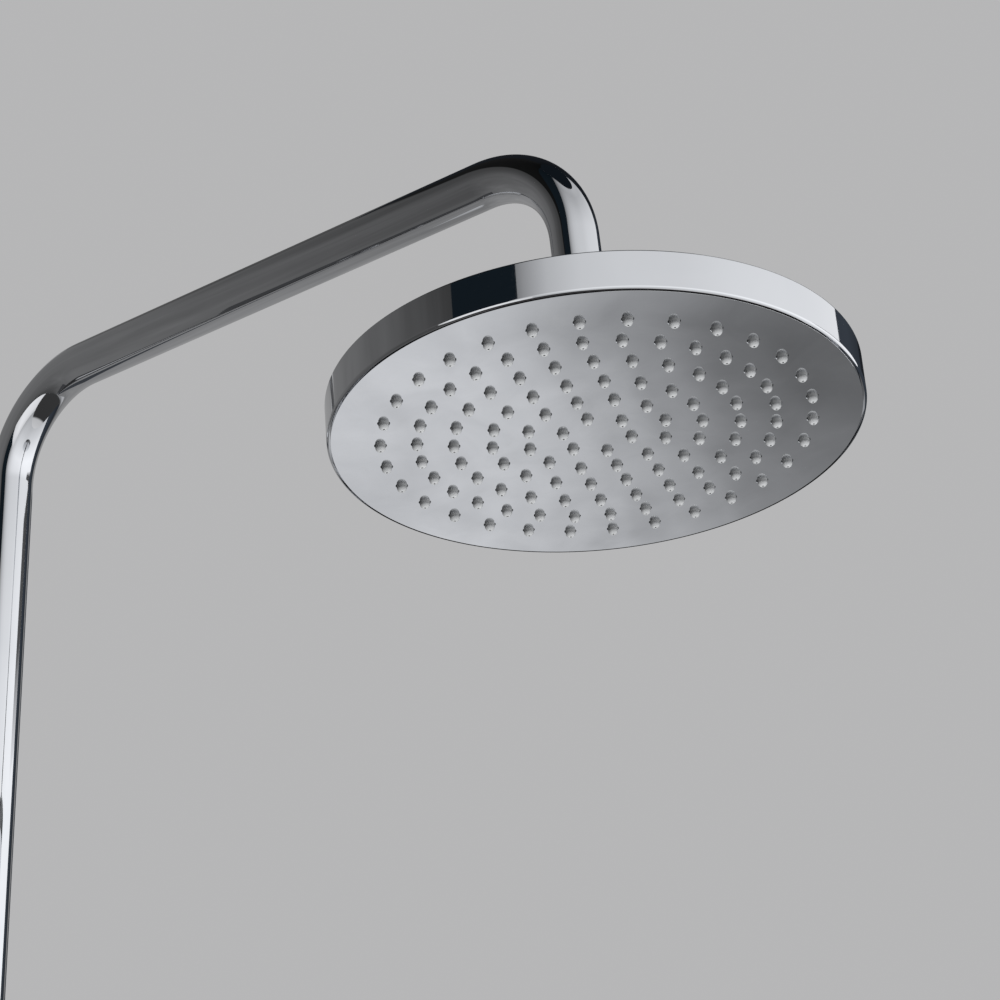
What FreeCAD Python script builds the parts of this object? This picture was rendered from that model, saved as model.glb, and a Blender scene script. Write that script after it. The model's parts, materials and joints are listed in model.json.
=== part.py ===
"""Shower column: a wall-held riser, a one-piece swivelling gooseneck arm and a round rain head.

Millimetres, +Z up, +X out of the wall.  The origin is the centre of the wall plate's back face.
Three more frames are used while the pieces are drawn:
  wall frame - along Z out of the wall, turned down onto +X at the end
  drop frame - origin at the ball's centre, +Z up along the drop of the arm
  head frame - origin at the middle of the nozzle face, +Z up along the head's own axis
Each node has one function, and NODES at the end lists them all.
"""
import os
from math import atan2, cos, degrees, radians, sin, sqrt, tan

import FreeCAD
import Part

V = FreeCAD.Vector

# ---------------------------------------------------------------- fits
BRAZE_GAP = 0.05           # a sleeve brazed in a tube, a thread in its nut
RUN_GAP = 0.05             # a turning or sliding fit, all round
LOOSE_GAP = 0.1            # the loose union nut on its neck
CUT = 1.0                  # how far a cutting shape runs past what it cuts

# ---------------------------------------------------------------- tubes
TUBE_R = 12.0
TUBE_WALL = 1.2
RISER_OFFSET = 60.0        # wall to riser axis
RISER_FOOT = -540.0
RISER_HEAD = 25.0
ARM_HEIGHT = 440.0         # bracket axis to arm axis
ARM_LENGTH = 395.0         # riser axis to the corner over the drop
BEND_R = 57.0              # centreline of both bends
DROP_LEAN = 6.0            # degrees that the drop runs outward on its way down
DROP_LENGTH = 78.0         # corner to the open end of the drop
SLEEVE_LENGTH = 16.0       # brass sleeves brazed into the tube ends
WATERWAY_R = 7.5

# ---------------------------------------------------------------- swivel between riser and gooseneck
PART_LINE = 61.0           # height of the underside of the spigot's flange
FLANGE_R = 15.0
FLANGE_T = 4.0
SLIP_T = 0.9
SPIGOT_R = 10.2
SPIGOT_LENGTH = 26.0
SPIGOT_FLOOR_GAP = 1.0
SPIGOT_CHAMFER = 0.8
SOCKET_WALL = 5.2
SOCKET_TAPER = 2.0         # socket floor to the top of the taper under it
COLLAR_WALL = 3.0
COLLAR_LIP = 3.0
COLLAR_SKIRT = 24.0
COLLAR_ROUND = 2.4
COLLAR_CHAMFER = 0.8
COLLAR_TUBE_GAP = 0.3
O_RING_R = 0.75            # section radius
O_RING_PITCH = 9.0
O_RING_COUNT = 2
GROOVE_SIDE_GAP = 0.25

# ---------------------------------------------------------------- foot union
NECK_R = 9.4
NECK_LENGTH = 24.0
NECK_SHOULDER = 4.0
NECK_SHOULDER_CHAMFER = 1.2
FOOT_FLANGE_R = 11.8
FOOT_FLANGE_T = 3.0
WASHER_T = 2.0
UNION_THREAD_R = 12.06     # minor radius of a G3/4 inside thread
UNION_THREAD_LENGTH = 12.0
UNION_RELIEF = 0.3
UNION_LIP = 4.0
UNION_FLATS = 32.0

# ---------------------------------------------------------------- wall bracket
PLATE_R = 26.0
PLATE_T = 4.0
PLATE_HOLE_R = 2.6
PLATE_HOLE_SPACING = 34.0
PLATE_SINK = 2.3           # depth of the 90 degree countersinks
BOSS_R = 6.0
BOSS_LENGTH = 20.0
COVER_R = 29.0
COVER_DEPTH = 13.0
COVER_WALL = 1.6
COVER_ROUND = 7.0
POST_R = 10.0
POST_TIP_R = 5.0
POST_TIP_LENGTH = 4.0
POST_GRUB_PLACE = 18.0     # wall to the set screw of the post
CLAMP_R = 17.5
CLAMP_HALF = 12.0
CLAMP_CHAMFER = 0.8
BUSH_T = 1.1
BUSH_FLANGE_R = 15.0
BUSH_FLANGE_T = 1.2
BUSH_SLOT = 2.0
GRUB_R = 2.0
GRUB_LENGTH = 3.8
GRUB_POINT = 0.8
GRUB_KEY = 2.0             # across the flats of its hexagon socket
GRUB_KEY_DEPTH = 1.8

# ---------------------------------------------------------------- ball joint, from the ball's centre
BALL_R = 11.0
BALL_FLAT = -10.0
BALL_BORE_R = 3.8
STEM_R = 6.5
HEX_FLATS = 24.0
HEX_BOTTOM = 17.0
HEX_FLOOR = 2.0
REGULATOR_R = 6.0
REGULATOR_T = 3.8
REGULATOR_GAP = 0.2
REGULATOR_HOLES = 8
REGULATOR_HOLE_R = 0.9
REGULATOR_HOLE_PCR = 4.0
FILTER_T = 2.0
FILTER_HOLE_R = 5.0
SCREEN_T = 0.4
SCREEN_HOLE_R = 0.45
SCREEN_RINGS = [(1.5, 6), (3.0, 12), (4.2, 16)]
OUTLET_THREAD_R = 9.3
OUTLET_THREAD_LENGTH = 11.0
OUTLET_BORE_R = 6.5
OUTLET_SHOULDER = 1.8
OUTLET_GAP = 0.3
LINER_T = 1.45
LINER_TOP = 5.0
LINER_BOTTOM = -4.5
SEAL_R = 1.3               # section radius
SEAL_DROP = -8.9
CUP_THREAD_R = 16.0
CUP_TOP = -0.5
CUP_FLANGE_R = 19.0
CUP_FLANGE_TOP = -10.0
CUP_FLANGE_BOTTOM = -14.0
CUP_TAIL_R = 11.0
CUP_TAIL_LENGTH = 11.0
CUP_BORE_R = 7.2
NUT_WALL = 3.45
NUT_BOTTOM = -9.4
NUT_SEAT_TOP = 7.5
NUT_TOP = 10.5
NUT_MOUTH_R = 11.5
NUT_ROUND = 4.5
NUT_FLUTES = 12
NUT_FLUTE_R = 1.2
NUT_FLUTE_DEPTH = 0.7

# ---------------------------------------------------------------- head, from the outer nozzle ring's plane
HEAD_LEAN = 4.3            # degrees that the head's top leans back to the wall
HEAD_R = 125.0
RIM_BOTTOM = 0.5
RIM_TOP = 20.0
RIM_FOOT_ROUND = 1.5
RIM_TOP_ROUND = 0.9
RIM_WALL = 2.6
LIP_WIDTH = 1.6
LIP_GAP = 0.4              # the dark line between rim and face
LIP_DEPTH = 2.0
DOME_TOP = 27.0
DOME_BULGE = 1.4
DOME_WALL = 2.0
DOME_FLAT_R = 20.0
CUP_HOLE_GAP = 0.3
FACE_CROWN = 1.57          # how far the middle of the face hangs below the outer nozzle ring
FACE_BACK = 4.0
FACE_EDGE = 0.3
SKIRT_GAP = 0.1
SKIRT_WALL = 3.4
SKIRT_TOP = 11.0
SNAP_BOTTOM = 6.0
SNAP_T = 1.4
SNAP_BITE = 1.0            # into the shell; the rest of its width is in the skirt
SNAP_WIDTH = 1.9
SNAP_GAP = 0.2
SNAP_MOUTH = 14.0          # degrees between its ends
SHELL_SEAL_R = 1.5         # section radius
SHELL_SEAL_GAP = 0.05
PERIMETER_SEAL_R = 1.45    # section radius
PERIMETER_SEAL_GAP = 0.2
CHAMBER_STEP = 0.4
MAT_T = 1.5
MAT_MARGIN = 1.6
WATER_PLATE_T = 3.0
WATER_PLATE_HOLE_R = 1.4
WATER_FLANGE_GAP = 0.3
WATER_FLANGE_T = 2.2
SCREW_MARGIN = 5.5         # mat edge to screw circle
SCREW_COUNT = 12
SCREW_R = 1.4
SCREW_HEAD_R = 2.8
SCREW_HEAD_T = 1.8
SCREW_DEPTH = 2.6          # into the face plate
SCREW_SLOT = 0.8
NECK_GASKET_T = 1.0
NECK_GASKET_MARGIN = 0.5
BACK_NUT_T = 5.0
BACK_NUT_FLATS = 32.0

# nozzles: (ring radius, nozzles in the ring), all rings starting on one radius
NOZZLE_RINGS = [(16.35, 6), (32.7, 12), (49.0, 18), (66.5, 24), (83.4, 30), (100.3, 30)]
NOZZLE_PHASE = 52.1
NOZZLE_R = 2.8
NOZZLE_GAP = 0.1
NOZZLE_LENGTH = 3.2
NOZZLE_SIDE = 1.1          # straight part below the face
NOZZLE_TIP_R = 1.1
NOZZLE_BORE_R = 0.5
NOZZLE_INLET_R = 1.2

# ---------------------------------------------------------------- derived values
TUBE_IN = TUBE_R - TUBE_WALL
SLEEVE_R = TUBE_IN - BRAZE_GAP

FLANGE_TOP = PART_LINE + FLANGE_T
SOCKET_TOP = PART_LINE - RUN_GAP - SLIP_T
SOCKET_FLOOR = PART_LINE - SPIGOT_LENGTH - SPIGOT_FLOOR_GAP
SOCKET_IN = SPIGOT_R + RUN_GAP
SOCKET_R = SOCKET_IN + SOCKET_WALL
COLLAR_IN = SOCKET_R + BRAZE_GAP
COLLAR_R = COLLAR_IN + COLLAR_WALL
COLLAR_MOUTH = TUBE_R + COLLAR_TUBE_GAP
LIP_UNDER = FLANGE_TOP + RUN_GAP + SLIP_T + RUN_GAP
COLLAR_TOP = LIP_UNDER + COLLAR_LIP
GROOVE_FLOOR_R = SOCKET_IN - 2 * O_RING_R - RUN_GAP

FOOT_FACE = RISER_FOOT - NECK_SHOULDER - NECK_LENGTH
UNION_SEAT = FOOT_FACE + FOOT_FLANGE_T + RUN_GAP
UNION_THREAD_TOP = FOOT_FACE - WASHER_T - RUN_GAP

BUSH_R = TUBE_R + RUN_GAP + BUSH_T
CLAMP_IN = BUSH_R + RUN_GAP

REGULATOR_FLOOR = HEX_BOTTOM + HEX_FLOOR
FILTER_FLOOR = REGULATOR_FLOOR + REGULATOR_T + REGULATOR_GAP
OUTLET_END = FILTER_FLOOR + FILTER_T
HEX_TOP = OUTLET_END + OUTLET_THREAD_LENGTH
SHOULDER_FACE = HEX_TOP + OUTLET_GAP
BALL_DEPTH = DROP_LENGTH + OUTLET_SHOULDER + SHOULDER_FACE
LINER_IN = BALL_R + RUN_GAP
LINER_R = LINER_IN + LINER_T
CUP_SPHERE_R = LINER_R + RUN_GAP
SEAL_PCR = sqrt((BALL_R + RUN_GAP + SEAL_R) ** 2 - SEAL_DROP ** 2)
NUT_IN = CUP_THREAD_R + BRAZE_GAP
NUT_R = NUT_IN + NUT_WALL

BALL_HEIGHT = DOME_TOP + NECK_GASKET_T - CUP_FLANGE_BOTTOM
RIM_IN = HEAD_R - RIM_WALL
FACE_R = HEAD_R - LIP_WIDTH - LIP_GAP
SKIRT_R = RIM_IN - SKIRT_GAP
SKIRT_IN = SKIRT_R - SKIRT_WALL
SHELL_SHOULDER = SKIRT_TOP + 2 * SHELL_SEAL_R + 2 * SHELL_SEAL_GAP
CHAMBER_R = SKIRT_IN - CHAMBER_STEP
SNAP_R = RIM_IN + SNAP_BITE
WATER_EDGE_R = SKIRT_IN - 2 * PERIMETER_SEAL_R - 2 * PERIMETER_SEAL_GAP
WATER_FLANGE_R = SKIRT_IN - WATER_FLANGE_GAP
WATER_BOTTOM = FACE_BACK + MAT_T
WATER_TOP = WATER_BOTTOM + WATER_PLATE_T
WATER_FLANGE_BOTTOM = FACE_BACK + 2 * PERIMETER_SEAL_R + 1.5 * PERIMETER_SEAL_GAP
MAT_R = WATER_EDGE_R - MAT_MARGIN
SCREW_PCR = MAT_R - SCREW_MARGIN
RING_R = NOZZLE_RINGS[-1][0]
FACE_SPHERE_R = (RING_R ** 2 + FACE_CROWN ** 2) / (2 * FACE_CROWN)


# ---------------------------------------------------------------- drawing helpers
def tube(outer, inner, low, high):
    """A ring about Z with straight walls."""
    body = disc(outer, low, high)
    return body.cut(disc(inner, low - CUT, high + CUT))


def disc(radius, low, high):
    """A solid cylinder about Z."""
    return Part.makeCylinder(radius, high - low, V(0, 0, low))


def arc_to(centre_r, centre_z, radius, start, end):
    """Outline entry for an arc about a centre, from one angle to another in degrees."""
    middle = radians((start + end) / 2)
    last = radians(end)
    return (centre_r + radius * cos(last), centre_z + radius * sin(last),
            centre_r + radius * cos(middle), centre_z + radius * sin(middle))


def sphere_to(radius, start_z, end_z):
    """Outline entry for an arc on a sphere about the origin, from one height to another."""
    middle_z = (start_z + end_z) / 2
    return sphere_r(radius, end_z), end_z, sphere_r(radius, middle_z), middle_z


def sphere_r(radius, height):
    """Radius of a sphere's section at a height from its centre."""
    return sqrt(radius ** 2 - height ** 2)


def lathe(*outline):
    """Turn a closed outline about Z.

    An entry is (r, z), or (r, z, r_middle, z_middle) for a corner reached by an arc.
    """
    edges = []
    for before, after in zip(outline[-1:] + outline[:-1], outline):
        start = V(before[0], 0, before[1])
        end = V(after[0], 0, after[1])
        if len(after) == 4:
            edges.append(Part.Arc(start, V(after[2], 0, after[3]), end).toShape())
        else:
            edges.append(Part.LineSegment(start, end).toShape())
    return Part.Face(Part.Wire(edges)).revolve(V(0, 0, 0), V(0, 0, 1), 360)


def hexagon(flats, low, high):
    """A hexagonal bar about Z."""
    corner = flats / sqrt(3)
    points = [V(corner * cos(radians(60 * k)), corner * sin(radians(60 * k)), low) for k in range(7)]
    return Part.Face(Part.makePolygon(points)).extrude(V(0, 0, high - low))


def turned_hexagon(flats, low, high):
    """A hexagonal bar about Z with its corners turned down at both ends."""
    flat_r = flats / 2
    corner = flats / sqrt(3)
    fall = (corner - flat_r) * tan(radians(30))
    return hexagon(flats, low, high).common(lathe((0, low), (flat_r, low), (corner, low + fall),
                                                  (corner, high - fall), (flat_r, high), (0, high)))


def on_circle(radius, count, phase=0.0):
    """Points of a circular pattern about Z."""
    angles = [radians(phase + 360.0 * k / count) for k in range(count)]
    return [V(radius * cos(a), radius * sin(a), 0) for a in angles]


def moved(shape, offset):
    """A shifted copy."""
    copy = shape.copy()
    copy.translate(offset)
    return copy


def copies(shape, offsets):
    """A compound of shifted copies."""
    return Part.makeCompound([moved(shape, offset) for offset in offsets])


def turned(shape, degrees_about_y):
    """A copy turned about the Y axis."""
    copy = shape.copy()
    copy.rotate(V(0, 0, 0), V(0, 1, 0), degrees_about_y)
    return copy


# ---------------------------------------------------------------- placing helpers
def on_riser(shape):
    """From the Z axis to the riser's axis."""
    return moved(shape, V(RISER_OFFSET, 0, 0))


def out_of_wall(shape):
    """From the wall frame."""
    return turned(shape, 90)


def ball_centre():
    """The ball's centre."""
    lean = radians(DROP_LEAN)
    return V(RISER_OFFSET + ARM_LENGTH + BALL_DEPTH * sin(lean), 0, ARM_HEIGHT - BALL_DEPTH * cos(lean))


def in_drop(shape):
    """From the drop frame."""
    return moved(turned(shape, -DROP_LEAN), ball_centre())


def about_ball(shape):
    """From a frame at the ball's centre along the head's axis."""
    return moved(turned(shape, -HEAD_LEAN), ball_centre())


def in_head(shape):
    """From the head frame."""
    return about_ball(moved(shape, V(0, 0, -BALL_HEIGHT)))


# ---------------------------------------------------------------- column
def riser_tube():
    """Straight chromed tube from the foot to the swivel."""
    return on_riser(tube(TUBE_R, TUBE_IN, RISER_FOOT, RISER_HEAD))


def swivel_socket():
    """Brass body on the riser: a sleeve in the tube and a socket for the gooseneck's spigot."""
    return on_riser(lathe((WATERWAY_R, RISER_HEAD - SLEEVE_LENGTH), (SLEEVE_R, RISER_HEAD - SLEEVE_LENGTH),
                          (SLEEVE_R, RISER_HEAD), (TUBE_R, RISER_HEAD),
                          (SOCKET_R, SOCKET_FLOOR - SOCKET_TAPER), (SOCKET_R, SOCKET_TOP),
                          (SOCKET_IN, SOCKET_TOP), (SOCKET_IN, SOCKET_FLOOR), (WATERWAY_R, SOCKET_FLOOR)))


def swivel_collar():
    """Chromed collar that holds the spigot's flange down on the socket."""
    low = LIP_UNDER - COLLAR_SKIRT
    round_z = COLLAR_TOP - COLLAR_ROUND
    return on_riser(lathe((COLLAR_IN, low), (COLLAR_R - COLLAR_CHAMFER, low),
                          (COLLAR_R, low + COLLAR_CHAMFER), (COLLAR_R, round_z),
                          arc_to(COLLAR_R - COLLAR_ROUND, round_z, COLLAR_ROUND, 0, 90),
                          (COLLAR_MOUTH, COLLAR_TOP), (COLLAR_MOUTH, LIP_UNDER), (COLLAR_IN, LIP_UNDER)))


def slip_rings():
    """Plain bearing rings under and over the spigot's flange."""
    lower = tube(FLANGE_R, SPIGOT_R + COLLAR_TUBE_GAP, SOCKET_TOP, SOCKET_TOP + SLIP_T)
    upper = tube(FLANGE_R, COLLAR_MOUTH, LIP_UNDER - SLIP_T, LIP_UNDER)
    return on_riser(Part.makeCompound([lower, upper]))


def foot_spigot():
    """Brass end of the riser: a sleeve in the tube, a neck and the flange that the union pulls on."""
    shoulder = RISER_FOOT - NECK_SHOULDER
    flange_top = FOOT_FACE + FOOT_FLANGE_T
    return on_riser(lathe((WATERWAY_R, FOOT_FACE), (FOOT_FLANGE_R, FOOT_FACE), (FOOT_FLANGE_R, flange_top),
                          (NECK_R, flange_top), (NECK_R, shoulder),
                          (TUBE_R - NECK_SHOULDER_CHAMFER, shoulder),
                          (TUBE_R, shoulder + NECK_SHOULDER_CHAMFER), (TUBE_R, RISER_FOOT),
                          (SLEEVE_R, RISER_FOOT), (SLEEVE_R, RISER_FOOT + SLEEVE_LENGTH),
                          (WATERWAY_R, RISER_FOOT + SLEEVE_LENGTH)))


def union_nut():
    """Loose nut that draws the riser's foot onto a valve's outlet."""
    low = UNION_THREAD_TOP - UNION_THREAD_LENGTH
    high = UNION_SEAT + UNION_LIP
    body = turned_hexagon(UNION_FLATS, low, high)
    body = body.cut(disc(UNION_THREAD_R, low - CUT, UNION_THREAD_TOP))
    body = body.cut(disc(UNION_THREAD_R + UNION_RELIEF, UNION_THREAD_TOP, UNION_SEAT))
    return on_riser(body.cut(disc(NECK_R + LOOSE_GAP, UNION_SEAT - CUT, high + CUT)))


def union_washer():
    """Flat rubber washer under the foot's flange."""
    return on_riser(tube(FOOT_FLANGE_R, WATERWAY_R, FOOT_FACE - WASHER_T, FOOT_FACE))


# ---------------------------------------------------------------- wall bracket
def wall_plate():
    """Steel disc with a boss for the post and two countersunk screw holes, one over the other."""
    body = disc(PLATE_R, 0, PLATE_T).fuse(disc(BOSS_R, 0, PLATE_T + BOSS_LENGTH))
    hole = disc(PLATE_HOLE_R, -CUT, PLATE_T + CUT)
    sink = Part.makeCone(PLATE_HOLE_R, PLATE_HOLE_R + PLATE_SINK, PLATE_SINK, V(0, 0, PLATE_T - PLATE_SINK))
    places = on_circle(PLATE_HOLE_SPACING / 2, 2)
    return out_of_wall(body.cut(copies(hole, places)).cut(copies(sink, places)))


def cover_cap():
    """Chromed cup that hides the plate and its screws."""
    hole_r = POST_R + RUN_GAP
    round_r = COVER_R - COVER_ROUND
    round_z = COVER_DEPTH - COVER_ROUND
    return out_of_wall(lathe((COVER_R - COVER_WALL, 0), (COVER_R, 0), (COVER_R, round_z),
                             arc_to(round_r, round_z, COVER_ROUND, 0, 90), (hole_r, COVER_DEPTH),
                             (hole_r, COVER_DEPTH - COVER_WALL), (round_r, COVER_DEPTH - COVER_WALL),
                             arc_to(round_r, round_z, COVER_ROUND - COVER_WALL, 90, 0)))


def bracket_post():
    """Round post over the plate's boss, hollowed to the clamp ring and with a tip in its wall."""
    saddle_r = CLAMP_R + BRAZE_GAP
    ring = Part.makeCylinder(saddle_r, 4 * POST_R, V(-2 * POST_R, 0, RISER_OFFSET), V(1, 0, 0))
    tip_end = RISER_OFFSET - CLAMP_R + POST_TIP_LENGTH
    body = disc(POST_R, PLATE_T, RISER_OFFSET).cut(ring)
    body = body.fuse(disc(POST_TIP_R, PLATE_T + BOSS_LENGTH + CUT, tip_end))
    body = body.cut(disc(BOSS_R + RUN_GAP, PLATE_T - CUT, PLATE_T + BOSS_LENGTH + RUN_GAP))
    return out_of_wall(body.cut(Part.makeCylinder(GRUB_R, POST_R, V(0, 0, POST_GRUB_PLACE), V(1, 0, 0))))


def clamp_ring():
    """Chromed ring round the riser, screwed onto the post's tip."""
    inner = CLAMP_R - CLAMP_CHAMFER
    edge = CLAMP_HALF - CLAMP_CHAMFER
    body = lathe((CLAMP_IN, -CLAMP_HALF), (inner, -CLAMP_HALF), (CLAMP_R, -edge), (CLAMP_R, edge),
                 (inner, CLAMP_HALF), (CLAMP_IN, CLAMP_HALF))
    tip = Part.makeCylinder(POST_TIP_R + BRAZE_GAP, POST_TIP_LENGTH + CUT,
                            V(-CLAMP_R - CUT, 0, 0), V(1, 0, 0))
    grub = Part.makeCylinder(GRUB_R, 2 * CLAMP_R, V(0, 0, 0), V(0, -1, 0))
    return on_riser(body.cut(tip).cut(grub))


def clamp_bush():
    """Split plastic bush between ring and riser, with a flange at each end."""
    inner = TUBE_R + RUN_GAP
    flange_z = CLAMP_HALF + BUSH_FLANGE_T
    body = lathe((inner, -flange_z), (BUSH_FLANGE_R, -flange_z), (BUSH_FLANGE_R, -CLAMP_HALF),
                 (BUSH_R, -CLAMP_HALF), (BUSH_R, CLAMP_HALF), (BUSH_FLANGE_R, CLAMP_HALF),
                 (BUSH_FLANGE_R, flange_z), (inner, flange_z))
    slot = Part.makeBox(2 * BUSH_FLANGE_R, BUSH_SLOT, 4 * CLAMP_HALF, V(0, -BUSH_SLOT / 2, -2 * CLAMP_HALF))
    return on_riser(body.cut(slot))


def grub_screw():
    """Set screw along Z with its point at the origin."""
    radius = GRUB_R - BRAZE_GAP
    body = lathe((0, 0), (radius - GRUB_POINT, 0), (radius, GRUB_POINT), (radius, GRUB_LENGTH),
                 (0, GRUB_LENGTH))
    return body.cut(hexagon(GRUB_KEY, GRUB_LENGTH - GRUB_KEY_DEPTH, GRUB_LENGTH + CUT))


def set_screws():
    """Two set screws: one pins the post to its boss from below, one presses the bush onto the riser."""
    below = moved(turned(grub_screw(), 180), V(POST_GRUB_PLACE, 0, -BOSS_R - RUN_GAP))
    side = grub_screw()
    side.rotate(V(0, 0, 0), V(1, 0, 0), 90)
    return Part.makeCompound([below, moved(side, V(RISER_OFFSET, -BUSH_R - RUN_GAP, 0))])


# ---------------------------------------------------------------- gooseneck
def gooseneck_path(start_z):
    """Centreline of the gooseneck from a height on the riser's axis to the open end of the drop."""
    lean = radians(DROP_LEAN)
    run_1 = BEND_R
    run_2 = BEND_R * tan((radians(90) - lean) / 2)
    down = V(sin(lean), 0, -cos(lean))
    first = V(RISER_OFFSET, 0, ARM_HEIGHT)
    second = first + V(ARM_LENGTH, 0, 0)
    bend_1 = V(RISER_OFFSET + BEND_R - BEND_R * cos(radians(45)), 0,
               ARM_HEIGHT - BEND_R + BEND_R * sin(radians(45)))
    centre_2 = second + V(-run_2, 0, -BEND_R)
    half = (radians(90) - lean) / 2
    bend_2 = centre_2 + V(BEND_R * sin(half), 0, BEND_R * cos(half))
    bend_end = second + down * run_2
    points = [V(RISER_OFFSET, 0, start_z), first - V(0, 0, run_1), first + V(run_1, 0, 0),
              second - V(run_2, 0, 0), bend_end, second + down * DROP_LENGTH]
    edges = [Part.LineSegment(points[0], points[1]), Part.Arc(points[1], bend_1, points[2]),
             Part.LineSegment(points[2], points[3]), Part.Arc(points[3], bend_2, points[4]),
             Part.LineSegment(points[4], points[5])]
    return Part.Wire([edge.toShape() for edge in edges])


def gooseneck_tube():
    """One chromed tube: up from the swivel, out over the user and down to the head."""
    path = gooseneck_path(FLANGE_TOP)
    solids = []
    for radius in (TUBE_R, TUBE_IN):
        section = Part.Wire(Part.makeCircle(radius, V(RISER_OFFSET, 0, FLANGE_TOP), V(0, 0, 1)))
        solids.append(path.makePipeShell([section], True, False))
    return solids[0].cut(solids[1])


def groove_heights():
    """Middles of the O-ring grooves on the spigot."""
    return [PART_LINE - O_RING_PITCH * (k + 1) for k in range(O_RING_COUNT)]


def swivel_spigot():
    """Brass end of the gooseneck: a sleeve in the tube, a thrust flange and a grooved spigot."""
    low = PART_LINE - SPIGOT_LENGTH
    body = lathe((WATERWAY_R, low), (SPIGOT_R - SPIGOT_CHAMFER, low), (SPIGOT_R, low + SPIGOT_CHAMFER),
                 (SPIGOT_R, PART_LINE), (FLANGE_R, PART_LINE), (FLANGE_R, FLANGE_TOP), (SLEEVE_R, FLANGE_TOP),
                 (SLEEVE_R, FLANGE_TOP + SLEEVE_LENGTH), (WATERWAY_R, FLANGE_TOP + SLEEVE_LENGTH))
    half = O_RING_R + GROOVE_SIDE_GAP
    for middle in groove_heights():
        body = body.cut(tube(SPIGOT_R + CUT, GROOVE_FLOOR_R, middle - half, middle + half))
    return on_riser(body)


def spigot_rings():
    """O-rings in the spigot's grooves."""
    centre_r = (GROOVE_FLOOR_R + SOCKET_IN) / 2
    rings = [Part.makeTorus(centre_r, O_RING_R, V(0, 0, z)) for z in groove_heights()]
    return on_riser(Part.makeCompound(rings))


def outlet_nipple():
    """Brass thread brazed into the end of the drop."""
    tube_end = SHOULDER_FACE + OUTLET_SHOULDER
    return in_drop(lathe((OUTLET_BORE_R, OUTLET_END), (OUTLET_THREAD_R, OUTLET_END),
                         (OUTLET_THREAD_R, SHOULDER_FACE), (TUBE_R, SHOULDER_FACE), (TUBE_R, tube_end),
                         (SLEEVE_R, tube_end), (SLEEVE_R, tube_end + SLEEVE_LENGTH),
                         (OUTLET_BORE_R, tube_end + SLEEVE_LENGTH)))


# ---------------------------------------------------------------- ball joint
def ball_nut():
    """Hollow ball, stem and hexagon in one brass piece, screwed onto the drop."""
    stem_low = sphere_r(BALL_R, STEM_R)
    ball = lathe((BALL_BORE_R, BALL_FLAT), (sphere_r(BALL_R, BALL_FLAT), BALL_FLAT),
                 sphere_to(BALL_R, BALL_FLAT, stem_low), (STEM_R, HEX_BOTTOM + HEX_FLOOR / 2),
                 (BALL_BORE_R, HEX_BOTTOM + HEX_FLOOR / 2))
    socket = turned_hexagon(HEX_FLATS, HEX_BOTTOM, HEX_TOP)
    socket = socket.cut(disc(BALL_BORE_R, HEX_BOTTOM - CUT, HEX_TOP + CUT))
    socket = socket.cut(disc(REGULATOR_R + RUN_GAP, REGULATOR_FLOOR, FILTER_FLOOR + CUT))
    socket = socket.cut(disc(OUTLET_THREAD_R + BRAZE_GAP, FILTER_FLOOR, HEX_TOP + CUT))
    return in_drop(ball.fuse(socket))


def flow_regulator():
    """Plastic disc with calibrated holes in the floor of the ball nut."""
    holes = copies(disc(REGULATOR_HOLE_R, REGULATOR_FLOOR - CUT, FILTER_FLOOR + CUT),
                   on_circle(REGULATOR_HOLE_PCR, REGULATOR_HOLES))
    return in_drop(disc(REGULATOR_R, REGULATOR_FLOOR, REGULATOR_FLOOR + REGULATOR_T).cut(holes))


def filter_washer():
    """Rubber washer that seals ball nut and nipple."""
    return in_drop(tube(OUTLET_THREAD_R, FILTER_HOLE_R, FILTER_FLOOR, OUTLET_END))


def filter_screen():
    """Perforated steel screen in the washer's hole."""
    low = FILTER_FLOOR + (FILTER_T - SCREEN_T) / 2
    body = disc(FILTER_HOLE_R, low, low + SCREEN_T)
    for radius, count in SCREEN_RINGS:
        body = body.cut(copies(disc(SCREEN_HOLE_R, low - CUT, low + CUT), on_circle(radius, count)))
    return in_drop(body)


def ball_liner():
    """Slippery seat round the ball: a zone of a hollow sphere."""
    return about_ball(lathe((sphere_r(LINER_R, LINER_BOTTOM), LINER_BOTTOM),
                            sphere_to(LINER_R, LINER_BOTTOM, LINER_TOP),
                            (sphere_r(LINER_IN, LINER_TOP), LINER_TOP),
                            sphere_to(LINER_IN, LINER_TOP, LINER_BOTTOM)))


def ball_seal():
    """Rubber ring under the ball."""
    return about_ball(Part.makeTorus(SEAL_PCR, SEAL_R, V(0, 0, SEAL_DROP)))


def swivel_cup():
    """Brass cup of the ball joint, with a flange on the head and a threaded tail through it."""
    tail_end = CUP_FLANGE_BOTTOM - CUP_TAIL_LENGTH
    groove_r = SEAL_PCR + SEAL_R + RUN_GAP
    groove_floor = SEAL_DROP - SEAL_R - RUN_GAP
    groove_top = -sqrt(CUP_SPHERE_R ** 2 - groove_r ** 2)
    return about_ball(lathe((CUP_BORE_R, tail_end), (CUP_TAIL_R, tail_end), (CUP_TAIL_R, CUP_FLANGE_BOTTOM),
                            (CUP_FLANGE_R, CUP_FLANGE_BOTTOM), (CUP_FLANGE_R, CUP_FLANGE_TOP),
                            (CUP_THREAD_R, CUP_FLANGE_TOP), (CUP_THREAD_R, CUP_TOP),
                            (sphere_r(CUP_SPHERE_R, CUP_TOP), CUP_TOP),
                            sphere_to(CUP_SPHERE_R, CUP_TOP, groove_top),
                            (groove_r, groove_floor), (CUP_BORE_R, groove_floor)))


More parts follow.
